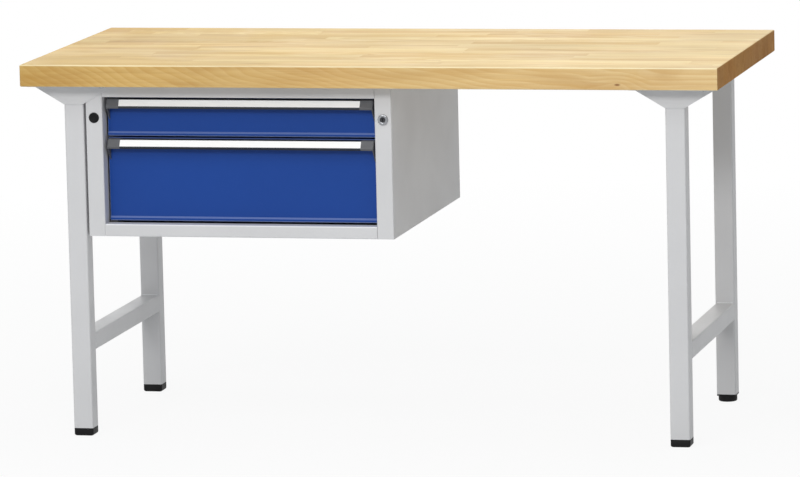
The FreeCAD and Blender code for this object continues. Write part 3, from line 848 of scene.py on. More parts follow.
    def ring_pattern(self, sheet: NodeSheet, place: Socket, piece: StavePiece, eye: Socket) -> Socket:
        """Growth rings about a pith that lies outside each piece.

        Args:
            sheet: The material's nodes.
            place: Where the pattern is read.
            piece: The piece of a stave that lies there.
            eye: Distance from the knot, which the rings bend round.

        Returns:
            Ring tone, 0 for early wood and 1 for late wood.
        """
        low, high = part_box("bench_top")
        x, _, z = sheet.split(place)
        from_end = sheet.minus(x, high.x)
        taper = sheet.times(sheet.minus(piece.lean, 0.5), self.taper)
        bow = sheet.times(sheet.times(from_end, from_end), taper)
        bent = sheet.plus(bow, sheet.times(sheet.noise(place, self.wander_cells), self.wander))
        swing = sheet.plus(bent, sheet.span(eye, self.knot_bend[0], 0.0, 0.0, self.knot_bend[1]))
        turn = sheet.times(piece.pith, math.tau)
        reach = sheet.span(piece.lean, 0.0, 1.0, *self.pith_reach)
        inside = sheet.times(sheet.minus(sheet.maths("FRACT", piece.across), 0.5), self.stave)
        side = sheet.minus(inside, sheet.times(reach, sheet.maths("COSINE", turn)))
        pith_height = sheet.plus(sheet.times(reach, sheet.maths("SINE", turn)), (low.z + high.z) / 2)
        rise = sheet.minus(z, pith_height)
        radius = sheet.maths("SQRT", sheet.plus(sheet.times(side, side), sheet.times(rise, rise)))
        wave = sheet.maths("FRACT", sheet.over(sheet.plus(radius, swing), self.ring))
        return sheet.times(wave, sheet.span(wave, 1.0, self.late))

    def seam_mask(self, sheet: NodeSheet, piece: StavePiece) -> Socket:
        """Thin glue lines between staves and between a stave's pieces.

        Args:
            sheet: The material's nodes.
            piece: The piece of a stave that lies there.

        Returns:
            1 on a glue line, 0 elsewhere.
        """
        masks = []
        for place, pitch in ((piece.across, self.stave), (piece.along, self.run)):
            off_centre = sheet.maths("ABSOLUTE", sheet.minus(sheet.maths("FRACT", place), 0.5))
            masks.append(sheet.span(off_centre, 0.5 - self.glue_line / pitch, 0.5))
        return sheet.larger(*masks)


class Slot(Enum):
    """The record's material slots."""

    BEECH = "beech"
    GREY_PAINT = "grey_paint"
    BLUE_PAINT = "blue_paint"
    ZINC_STEEL = "zinc_steel"
    CHROME = "chrome"
    # The lock core's slot; its finish is painted dark.
    BURNISHED_STEEL = "burnished_steel"
    BLACK_PLASTIC = "black_plastic"
    GRIP_ALUMINIUM = "grip_aluminium"
    GRIP_END_PLASTIC = "grip_end_plastic"
    LABEL_CARD = "label_card"


class Finishes:
    """The bench's finishes, by the record's material slots."""

    RECIPES: dict[Slot, Finish] = {
        Slot.BEECH: LaminatedBeech(
            name="Laminated beech", roughness=0.55, gloss=0.16,
            pale=shade(245, 219, 156), warm=shade(213, 170, 97), deep=shade(181, 131, 68),
            arris=shade(255, 246, 207), knot_brown=shade(122, 74, 36), raw=shade(212, 202, 188),
            end_tint=(0.54, 0.34, 0.17, 1.0), tone_and_light_fade=((0.89, 1.18), (0.86, 1.3), (0.71, 1.68)),
            stave=44.1 * MILLIMETRE, run=460 * MILLIMETRE, ring=5.6 * MILLIMETRE,
            draw=1.7, front=(0.55, 0.93, 0.083), knot=(0.575, -0.375, 0.822)),
        Slot.GREY_PAINT: PowderCoat(
            name="Light grey coat", colour=shade(212, 212, 213), rubbed_and_highlight=shade(242, 243, 245),
            roughness=0.46, gloss=0.35, edge=1.4 * MILLIMETRE, fold_highlight=(0.9, 0.2)),
        Slot.BLUE_PAINT: PowderCoat(
            name="Gentian blue coat", colour=shade(21, 66, 146), rubbed_and_highlight=shade(150, 168, 214),
            roughness=0.4, gloss=0.22, edge=1.6 * MILLIMETRE, fold_highlight=(0.36, 0.85)),
        Slot.ZINC_STEEL: DrawnMetal(
            name="Zinc plated steel", colour=shade(190, 194, 198), dull=shade(158, 163, 168),
            roughness=0.34, lines=(240.0, 14.0, 240.0)),
        Slot.CHROME: DrawnMetal(
            name="Polished chrome", colour=shade(186, 188, 192), dull=shade(132, 134, 138),
            roughness=0.13, lines=(90.0, 90.0, 90.0)),
        # The lock's core is painted dark: painted shade and painted dark reflection of its recessed keyway.
        Slot.BURNISHED_STEEL: DrawnMetal(
            name="Burnished steel", colour=shade(74, 75, 78), dull=shade(46, 47, 50),
            roughness=0.24, lines=(260.0, 30.0, 260.0)),
        Slot.BLACK_PLASTIC: MouldedPlastic(
            name="Black moulded plastic", colour=shade(14, 14, 15), worn=shade(44, 44, 45),
            roughness=0.54, gloss=0.16),
        Slot.GRIP_ALUMINIUM: DrawnMetal(
            name="Dark anodised aluminium", colour=shade(62, 65, 71), dull=shade(48, 51, 57),
            roughness=0.38, lines=(10.0, 420.0, 420.0)),
        Slot.GRIP_END_PLASTIC: MouldedPlastic(
            name="Dark grey moulded plastic", colour=shade(88, 89, 92), worn=shade(122, 123, 126),
            roughness=0.5, gloss=0.35),
        Slot.LABEL_CARD: LabelCard(
            name="White label strip", colour=shade(254, 254, 252), handled=shade(247, 247, 245),
            roughness=0.4),
    }

    def __init__(self) -> None:
        """Make every finish once."""
        self.materials = {slot: recipe.material() for slot, recipe in self.RECIPES.items()}

    def dress_nodes(self) -> None:
        """Give every CAD node the finish of its slot."""
        for subpart in frame["record"]["subparts"]:
            self.coat(frame["nodes"][subpart["node"]], Slot(subpart["material_slot"]))

    def coat(self, piece: Piece, slot: Slot) -> None:
        """Make a finish the only one of a piece."""
        piece.data.materials.clear()
        piece.data.materials.append(self.materials[slot])

    def fix(self, piece: Piece, body: str, slot: Slot, node: str | None = None) -> Piece:
        """Give a finished piece the finish of its record slot, and its place in the frame.

        Args:
            piece: The piece.
            body: The CAD body that it rides on.
            slot: The record's material slot.
            node: The CAD node that it stands for, if any.

        Returns:
            The piece.
        """
        self.coat(piece, slot)
        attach(piece, body)
        if node:
            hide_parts(node)
        return piece


def scene_object(name: str, data: bpy.types.ID) -> Piece:
    """A new object in the scene, at the origin.

    Args:
        name: The object's name.
        data: Its mesh, light or camera.

    Returns:
        The object.
    """
    made = bpy.data.objects.new(name, data)
    bpy.context.scene.collection.objects.link(made)
    return made


def mesh_object(name: str, bm: bmesh.types.BMesh, sharp: float = math.radians(35)) -> Piece:
    """Turn a bmesh into a smooth-shaded object, and free it.

    Args:
        name: The object's name.
        bm: The mesh, in place in the frame.
        sharp: Angle above which an edge stays sharp.

    Returns:
        The object, linked to the scene.
    """
    bmesh.ops.remove_doubles(bm, verts=bm.verts, dist=SAME_POINT)
    bmesh.ops.recalc_face_normals(bm, faces=bm.faces)
    mesh = bpy.data.meshes.new(name)
    bm.to_mesh(mesh)
    bm.free()
    mesh.shade_smooth()
    mesh.set_sharp_from_angle(angle=sharp)
    return scene_object(name, mesh)


def skin(bm: bmesh.types.BMesh, loops: list[list[bmesh.types.BMVert]], closed: bool = False) -> None:
    """Join loops of points, each to the next, with faces.

    Args:
        bm: The mesh that the points are in.
        loops: The loops, all with as many points; a pole is one point that many times.
        closed: Whether the last loop joins the first.
    """
    pairs = list(zip(loops, loops[1:]))
    if closed:
        pairs.append((loops[-1], loops[0]))
    for inner, outer in pairs:
        for step in range(len(inner)):
            after = (step + 1) % len(inner)
            corners = (inner[step], inner[after], outer[after], outer[step])
            bm.faces.new(list(dict.fromkeys(corners)))


def turned(
    profile: Profile, segments: int, closed: bool = False, into: bmesh.types.BMesh | None = None,
) -> bmesh.types.BMesh:
    """A turned solid about the Z axis.

    Args:
        profile: Radius and height of each point; radius 0 is a pole.
        segments: Sides of the turning.
        closed: Whether the last point joins the first.
        into: A mesh that the solid goes into, or none for a new one.

    Returns:
        The mesh.
    """
    bm = into or bmesh.new()
    angles = [math.tau * step / segments for step in range(segments)]
    loops = []
    for radius, height in profile:
        if radius <= 0:
            loops.append([bm.verts.new((0, 0, height))] * segments)
        else:
            loops.append([bm.verts.new((radius * math.cos(a), radius * math.sin(a), height)) for a in angles])
    skin(bm, loops, closed)
    return bm


def islands(node: str, reach: float) -> list[Box]:
    """Boxes of the separate solids in a CAD node.

    Args:
        node: The node's name.
        reach: Widest distance across one solid, seen from above.

    Returns:
        Lowest and highest corner of each solid.
    """
    found: list[Box] = []
    for vertex in frame["nodes"][node].data.vertices:
        place = vertex.co
        for low, high in found:
            if abs(place.x - low.x) < reach and abs(place.y - low.y) < reach:
                low[:] = [min(a, b) for a, b in zip(low, place)]
                high[:] = [max(a, b) for a, b in zip(high, place)]
                break
        else:
            found.append((place.copy(), place.copy()))
    return found


def laid(guide: bpy.types.Mesh, tree: Tree, **inputs: object) -> Piece:
    """Make a plain piece of what a Geometry Nodes tree lays along a guide.

    Args:
        guide: Mesh of the points or lines that the tree follows, with the piece's name.
        tree: The tree.
        inputs: The tree's inputs by name, with spaces as underscores.

    Returns:
        The piece, with no modifier left on it.
    """
    piece = scene_object(guide.name, guide)
    modifier = piece.modifiers.new(tree.name, "NODES")
    modifier.node_group = tree
    for item in tree.interface.items_tree:
        name = item.name.replace(" ", "_")
        if item.in_out == "INPUT" and name in inputs:
            modifier[item.identifier] = inputs[name]
    graph = bpy.context.evaluated_depsgraph_get()
    made = bpy.data.meshes.new_from_object(piece.evaluated_get(graph))
    piece.modifiers.remove(modifier)
    piece.data = made
    made.name = piece.name
    return piece


def start_tree(name: str, inputs: dict[str, str]) -> tuple[NodeSheet, Node, Node]:
    """Start a Geometry Nodes tree that lays copies along a guide.

    Args:
        name: The tree's name.
        inputs: Names and kinds of its sizes and choices.

    Returns:
        The tree's nodes, its input node and its output node.
    """
    sheet = NodeSheet(bpy.data.node_groups.new(name, "GeometryNodeTree"))
    inputs = {"Geometry": "Geometry", **inputs, "Seed": "Int", "Finish": "Material"}
    return sheet, *group_ends(sheet, inputs, {"Geometry": "Geometry"})


def end_tree(sheet: NodeSheet, copies: Node, start: Node, end: Node) -> Tree:
    """End a tree: real geometry with its material.

    Args:
        sheet: The tree's nodes.
        copies: The node that lays the copies.
        start: The tree's input node.
        end: The tree's output node.

    Returns:
        The tree.
    """
    real = sheet.add("GeometryNodeRealizeInstances", {"Geometry": copies.outputs["Instances"]})
    finish = {"Geometry": real.outputs["Geometry"], "Material": start.outputs["Finish"]}
    sheet.feed(end.inputs["Geometry"], sheet.add("GeometryNodeSetMaterial", finish).outputs["Geometry"])
    return sheet.tree


def random_number(sheet: NodeSheet, low: float, high: float, seed: Socket) -> Socket:
    """A number between two others, drawn for each copy."""
    feeds = {2: low, 3: high, "Seed": seed}
    return sheet.add("FunctionNodeRandomValue", feeds, data_type="FLOAT").outputs[1]


def weld_seam_tree() -> Tree:
    """The Geometry Nodes tree that lays a rippled weld bead along edges.

    Returns:
        The tree.
    """
    sizes = {"Ripple Pitch": "Float", "Bead Width": "Float", "Ripple Length": "Float"}
    sheet, start, end = start_tree("Weld seam", sizes)
    path = sheet.add("GeometryNodeMeshToCurve", {"Mesh": start.outputs["Geometry"]})
    steps = {"Curve": path.outputs["Curve"], "Length": start.outputs["Ripple Pitch"]}
    points = sheet.add("GeometryNodeCurveToPoints", steps, mode="LENGTH").outputs
    ripple = sheet.add("GeometryNodeMeshIcoSphere", {"Radius": 0.5, "Subdivisions": 2})
    width = start.outputs["Bead Width"]
    varied = {
        0: sheet.join(width, width, start.outputs["Ripple Length"]),
        "Scale": random_number(sheet, 0.88, 1.1, start.outputs["Seed"]),
    }
    copies = sheet.add("GeometryNodeInstanceOnPoints", {
        "Points": points["Points"],
        "Instance": ripple.outputs["Mesh"],
        "Rotation": points["Rotation"],
        "Scale": sheet.add("ShaderNodeVectorMath", varied, operation="SCALE").outputs[0],
    })
    return end_tree(sheet, copies, start, end)


def fastener_tree() -> Tree:
    """The Geometry Nodes tree that sets a fastener on each point, along the point's facing.

    Returns:
        The tree.
    """
    sheet, start, end = start_tree("Fasteners on points", {"Fastener": "Object"})
    points = sheet.add("GeometryNodeMeshToPoints", {"Mesh": start.outputs["Geometry"]})
    pattern = sheet.add("GeometryNodeObjectInfo", {"Object": start.outputs["Fastener"]})
    facing = sheet.add("GeometryNodeInputNamedAttribute", {"Name": "facing"}, data_type="FLOAT_VECTOR")
    aim = sheet.add("FunctionNodeAlignRotationToVector", {"Vector": facing.outputs["Attribute"]}, axis="Z")
    angle = random_number(sheet, 0.0, math.tau, start.outputs["Seed"])
    spin = sheet.add("FunctionNodeAxisAngleToRotation", {"Axis": (0.0, 0.0, 1.0), "Angle": angle})
    turns = {"Rotation": aim.outputs["Rotation"], "Rotate By": spin.outputs["Rotation"]}
    copies = sheet.add("GeometryNodeInstanceOnPoints", {
        "Points": points.outputs["Points"],
        "Instance": pattern.outputs["Geometry"],
        "Rotation": sheet.add("FunctionNodeRotateRotation", turns, rotation_space="LOCAL").outputs[0],
    })
    return end_tree(sheet, copies, start, end)


@dataclass
class WeldSeams:
    """Weld beads where the frame's tubes meet its legs.

    Attributes:
        finishes: The bench's finishes.
        width: Width of a bead.
        ripple: Distance from ripple to ripple.
        overlap: Length of a ripple, in such distances.
        inset: How far a bead stops short of a tube's corner.
        sunk: How far an upright bead lies inside a stretcher's face, in the groove by the leg.
        seed: Seed for the size of each ripple.
    """

    finishes: Finishes
    width: float = 5.0 * MILLIMETRE
    ripple: float = 1.8 * MILLIMETRE
    overlap: float = 2.2
    inset: float = 4.5 * MILLIMETRE
    sunk: float = 2.0 * MILLIMETRE
    seed: int = 4

    def stretcher_lines(self, low: Vector, high: Vector, y: float) -> list[list[Triple]]:
        """Lines along the four sides of a stretcher's end.

        Args:
            low: Lowest corner of the stretcher.
            high: Highest corner of the stretcher.
            y: Where its end is.

        Returns:
            The ends of each line.
        """
        inset = self.inset
        lines = [[(low.x + inset, y, z), (high.x - inset, y, z)] for z in (low.z, high.z)]
        for x in (low.x + self.sunk, high.x - self.sunk):
            lines.append([(x, y, low.z + inset), (x, y, high.z - inset)])
        return lines

    def tube_line(self, low: Vector, high: Vector, y: float) -> list[Triple]:
        """The line down, under and up an upper tube's end.

        Args:
            low: Lowest corner of the tube.
            high: Highest corner of the tube.
            y: Where its end is.

        Returns:
            The corners of the line.
        """
        inset = self.inset
        return [
            (low.x, y, high.z - inset), (low.x, y, low.z + inset), (low.x + inset, y, low.z),
            (high.x - inset, y, low.z), (high.x, y, low.z + inset), (high.x, y, high.z - inset),
        ]

    def paths(self) -> list[list[Triple]]:
        """Lines that the beads follow, round the ends of the stretchers and of the upper tubes.

        Returns:
            The corners of each line.
        """
        lines = []
        for side in SIDES:
            low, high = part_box(side + "_stretcher")
            for y in (low.y, high.y):
                lines += self.stretcher_lines(low, high, y)
            low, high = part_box(side + "_top_tube")
            lines += [self.tube_line(low, high, y) for y in (low.y, high.y)]
        return lines

    def build(self) -> list[Piece]:
        """Lay the beads and fix them to the bench.

        Returns:
            The beads, as one piece.
        """
        bm = bmesh.new()
        for line in self.paths():
            stops = [bm.verts.new(place) for place in line]
            for pair in zip(stops, stops[1:]):
                bm.edges.new(pair)
        guide = bpy.data.meshes.new("weld_seams")
        bm.to_mesh(guide)
        bm.free()
        piece = laid(
            guide, weld_seam_tree(), Ripple_Pitch=self.ripple, Bead_Width=self.width,
            Ripple_Length=self.overlap * self.ripple, Seed=self.seed,
            Finish=self.finishes.materials[Slot.GREY_PAINT])
        piece.data.shade_smooth()
        return [self.finishes.fix(piece, BENCH, Slot.GREY_PAINT)]


@dataclass(frozen=True)
class HexagonScrew:
    """A wood screw with a hexagon head on a flange.

    Attributes:
        flange: Radius of the flange.
        flange_edge: Thickness of the flange's edge.
        flange_rise: Height of the flange at the hexagon.
        head: Height of the head with its flange.
        hexagon_foot: Height where the hexagon starts, inside the flange.
        chamfer: Height of the hexagon's chamfer.
        core: Radius of the thread's core.
        crest: Radius of the thread's crest, and of the smooth shank.
        pitch: Pitch of the thread.
        tip: Length of the point.
        shank: Length of the smooth shank.
        unthreaded: Length that has no thread, at both ends together.
        segments: Sides of its round parts.
    """

    flange: float = 7.0 * MILLIMETRE
    flange_edge: float = 0.5 * MILLIMETRE
    flange_rise: float = 1.1 * MILLIMETRE
    head: float = 3.5 * MILLIMETRE
    hexagon_foot: float = 0.9 * MILLIMETRE
    chamfer: float = 0.5 * MILLIMETRE
    core: float = 1.7 * MILLIMETRE
    crest: float = 2.5 * MILLIMETRE
    pitch: float = 2.2 * MILLIMETRE
    tip: float = 3 * MILLIMETRE
    shank: float = 6 * MILLIMETRE
    unthreaded: float = 10 * MILLIMETRE
    segments: int = 20

    def pattern(self, low: Vector, high: Vector) -> Piece:
        """One screw, head up, the flange's seat at the origin.

        Args:
            low: Lowest corner of the CAD screw.
            high: Highest corner of the CAD screw.

        Returns:
            The screw.
        """
        flats = min(high.x - low.x, high.y - low.y) / 2
        corners = flats * 2 / math.sqrt(3)
        length = high.z - low.z - self.head
        profile = [(0.0, -length), (self.core, -length + self.tip)]
        for turn in range(int((length - self.unthreaded) / self.pitch)):
            foot = -length + self.tip + turn * self.pitch
            profile += [
                (self.core, foot + 0.3 * self.pitch), (self.crest, foot + 0.65 * self.pitch),
                (self.core, foot + self.pitch),
            ]
        profile += [
            (self.crest, -self.shank), (self.crest, 0.0), (self.flange, 0.0),
            (self.flange, self.flange_edge), (flats, self.flange_rise), (0.0, self.flange_rise),
        ]
        hexagon = [
            (0.0, self.hexagon_foot), (corners, self.hexagon_foot), (corners, self.head - self.chamfer),
            (flats, self.head), (0.0, self.head),
        ]
        bm = turned(profile, self.segments)
        turned(hexagon, 6, into=bm)
        return mesh_object("screw_pattern", bm, sharp=math.radians(28))


@dataclass
class FastenerSet:
    """Alike fasteners of one body, laid by the fastener tree.

    Attributes:
        name: The piece's name.
        body: The CAD body that carries them.
        slot: The record's material slot.
        pattern: One fastener, its foot at the origin and its head along +Z; it goes once they are laid.
        spots: Place and facing of each one.
        seed: Seed for the turn of each one.
        node: The CAD node that they stand for, if any.
    """

    name: str
    body: str
    slot: Slot
    pattern: Piece
    spots: list[Spot]
    seed: int
    node: str | None = None

    def build(self, tree: Tree, finishes: Finishes) -> Piece:
        """Lay the fasteners and fix them to their body.

        Args:
            tree: The fastener tree.
            finishes: The bench's finishes.

        Returns:
            The finished piece.
        """
        guide = bpy.data.meshes.new(self.name)
        guide.from_pydata([tuple(place) for place, _ in self.spots], [], [])
        facing = guide.attributes.new("facing", "FLOAT_VECTOR", "POINT")
        for item, (_, direction) in zip(facing.data, self.spots):
            item.vector = direction
        piece = laid(
            guide, tree, Fastener=self.pattern, Seed=self.seed, Finish=finishes.materials[self.slot])
        bpy.data.objects.remove(self.pattern)
        return finishes.fix(piece, self.body, self.slot, self.node)


@dataclass
class Fasteners:
    """Screws, rivets and spot welds: what holds the sheets, rails and slab together.

    Attributes:
        finishes: The bench's finishes.
        screw: The wood screws' sizes.
        screw_reach: Widest distance across a screw.
        rivet: Radius of a rivet's head.
        rivet_rise: Height of a rivet's head.
        rivet_edge: Height of the rim of that head.
        rivet_sunk: How far a rivet goes into its sheet.
        rivet_count: Rivets along one runner.
        rivet_end: From a runner's end to its first rivet, in distances between rivets.
        sheet: Thickness of a drawer's sheet.
        weld: Radius of a spot weld.
        weld_rise: Height of a spot weld's rim.
        weld_count: Spot welds along one rear flange.
        flange_middle: Distance from a cabinet side to the middle of its rear flange.
        margin: Distance from a flange's end to its first spot weld.
        segments: Sides of a rivet or a spot weld.
    """

    finishes: Finishes
    screw: HexagonScrew = HexagonScrew()
    screw_reach: float = 20 * MILLIMETRE
    rivet: float = 4.0 * MILLIMETRE
    rivet_rise: float = 1.5 * MILLIMETRE
    rivet_edge: float = 0.2 * MILLIMETRE
    rivet_sunk: float = 0.4 * MILLIMETRE
    rivet_count: int = 4
    rivet_end: float = 0.35
    sheet: float = 1.5 * MILLIMETRE
    weld: float = 3.0 * MILLIMETRE
    weld_rise: float = 0.25 * MILLIMETRE
    weld_count: int = 6
    flange_middle: float = 8.5 * MILLIMETRE
    margin: float = 28 * MILLIMETRE
    segments: int = 20

    def top_screws(self) -> FastenerSet:
        """The screws that hold gussets and cabinet to the slab.

        Returns:
            The screws.
        """
        node = "top_screws"
        boxes = islands(node, self.screw_reach)
        pattern = self.screw.pattern(*boxes[0])
        spots = []
        for low, high in boxes:
            middle = (low + high) / 2
            spots.append((Vector((middle.x, middle.y, low.z + self.screw.head)), Vector((0, 0, -1))))
        return FastenerSet("hexagon_screws", BENCH, Slot.ZINC_STEEL, pattern, spots, seed=7, node=node)

    def rivets(self, level: str) -> FastenerSet:
        """The rivets that hold a drawer's runners to its sides.

        Args:
            level: "upper" or "lower".

        Returns:
            The rivets.
        """
        profile = [(0.0, self.rivet_rise)]
        for share in (0.25, 0.5, 0.75, 1.0):
            angle = share * math.pi / 2
            height = self.rivet_rise * math.cos(angle) + self.rivet_edge * share
            profile.append((self.rivet * math.sin(angle), height))
        profile += [(self.rivet, -self.rivet_sunk), (0.0, -self.rivet_sunk)]
        pattern = mesh_object("rivet_pattern", turned(profile, self.segments))
        tray_low, tray_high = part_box(level + "_drawer_tray")
        spots = []
        for side, x, way in zip(SIDES, (tray_low.x + self.sheet, tray_high.x - self.sheet), (1, -1)):
            low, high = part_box(f"{level}_{side}_inner_rail")
            for step in range(self.rivet_count):
                share = (step + self.rivet_end) / (self.rivet_count - 1 + 2 * self.rivet_end)
                y = low.y + (high.y - low.y) * share
                spots.append((Vector((x, y, (low.z + high.z) / 2)), Vector((way, 0, 0))))
        return FastenerSet(level + "_rivets", level + "_drawer", Slot.ZINC_STEEL, pattern, spots, seed=11)

    def spot_welds(self) -> FastenerSet:
        """The spot welds that join the cabinet's rear flanges to its back.

        Returns:
            The spot welds.
        """
        radius, rise = self.weld, self.weld_rise
        profile = [
            (0.0, 0.1 * rise), (0.55 * radius, 0.15 * rise), (0.72 * radius, rise), (0.86 * radius, rise),
            (radius, 0.0), (radius, -rise), (0.0, -rise),
        ]
        pattern = mesh_object("spot_pattern", turned(profile, self.segments))
        low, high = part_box("cabinet_left_side")
        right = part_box("cabinet_right_side")[1].x
        spots = []
        for x in (low.x + self.flange_middle, right - self.flange_middle):
            for step in range(self.weld_count):
                share = step / (self.weld_count - 1)
                z = low.z + self.margin + (high.z - low.z - 2 * self.margin) * share
                spots.append((Vector((x, high.y, z)), Vector((0, 1, 0))))
        return FastenerSet("spot_welds", BENCH, Slot.GREY_PAINT, pattern, spots, seed=13)

    def build(self) -> list[Piece]:
        """Lay every set.

        Returns:
            The sets, each one piece.
        """
        tree = fastener_tree()
        pieces = [self.top_screws().build(tree, self.finishes)]
        pieces += [self.rivets(level).build(tree, self.finishes) for level in LEVELS]
        return pieces + [self.spot_welds().build(tree, self.finishes)]


@dataclass
class StileFittings:
    """The turned fittings in the cabinet's stiles: the lock's sleeve and the hole plug.

    Attributes:
        finishes: The bench's finishes.
        segments: Sides of a turned fitting.
        head: Height of the lock's head.
        bore: Radius of the hole that the barrel turns in.
        body: Radius of the lock's sleeve and of the plug's stem.
        plug_head: Height of the plug's head.
    """

    finishes: Finishes
    segments: int = 72
    head: float = 4.0 * MILLIMETRE
    bore: float = 6.08 * MILLIMETRE
    body: float = 9.0 * MILLIMETRE
    plug_head: float = 2.5 * MILLIMETRE

    def sleeve_profile(self, radius: float, length: float) -> Profile:
        """The lock's sleeve, with a softly rolled rim and a bevelled mouth.

        Args:
            radius: Radius of the head.
            length: Length of head and sleeve together.

        Returns:
            Radius and depth of each point.
        """
        step = MILLIMETRE
        mouth = [(0.0, 1.5), (0.3, 0.9), (1.1, 0.5), (1.5, 0.12), (2.0, 0.0)]
        rim = [(2.0, 0.0), (1.2, 0.14), (0.55, 0.5), (0.15, 1.1), (0.0, 1.9)]
        return [
            (self.bore, length),
            *((self.bore + out * step, depth * step) for out, depth in mouth),
            *((radius - inwards * step, depth * step) for inwards, depth in rim),
            (radius, self.head), (self.body, self.head), (self.body, length),
        ]

    def plug_profile(self, radius: float, length: float) -> Profile:
        """The plug, with a rolled rim round a shallow dished face.

        Args:
            radius: Radius of the head.
            length: Length of head and stem together.

        Returns:
            Radius and depth of each point.
        """
        step = MILLIMETRE
        dish = [(0.0, 0.75), (4.0, 0.7), (6.6, 0.45), (7.6, 0.12), (8.4, 0.0), (9.6, 0.1)]
        rim = [(1.2, 0.5), (0.4, 1.1), (0.0, 1.9)]
        return [
            *((out * step, depth * step) for out, depth in dish),
            *((radius - inwards * step, depth * step) for inwards, depth in rim),
            (radius, self.plug_head), (self.body, self.plug_head), (self.body, length - step),
            (self.body - step, length), (0.0, length),
        ]

    def fitting(
        self, name: str, node: str, slot: Slot, outline: Callable[[float, float], Profile], closed: bool,
    ) -> Piece:
        """Turn a fitting, lay it down to face the user, and set its front on its CAD node's front.

        Args:
            name: The piece's name.
            node: The CAD node that it stands for.
            slot: The record's material slot.
            outline: What gives its profile for a radius and a length.
            closed: Whether the profile closes on itself.

        Returns:
            The fitting.
        """
        low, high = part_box(node)
        centre = (low + high) / 2
        bm = turned(outline((high.x - low.x) / 2, high.y - low.y), self.segments, closed)
        lay_down = Matrix.Rotation(math.radians(-90), 4, "X")
        bm.transform(Matrix.Translation((centre.x, low.y, centre.z)) @ lay_down)
        return self.finishes.fix(mesh_object(name, bm), BENCH, slot, node)

    def build(self) -> list[Piece]:
        """Make both fittings.

        Returns:
            The lock's sleeve and the plug.
        """
        return [
            self.fitting("lock_sleeve", "lock_housing", Slot.CHROME, self.sleeve_profile, closed=True),
            self.fitting("stile_plug", "hole_plug", Slot.BLACK_PLASTIC, self.plug_profile, closed=False),
        ]


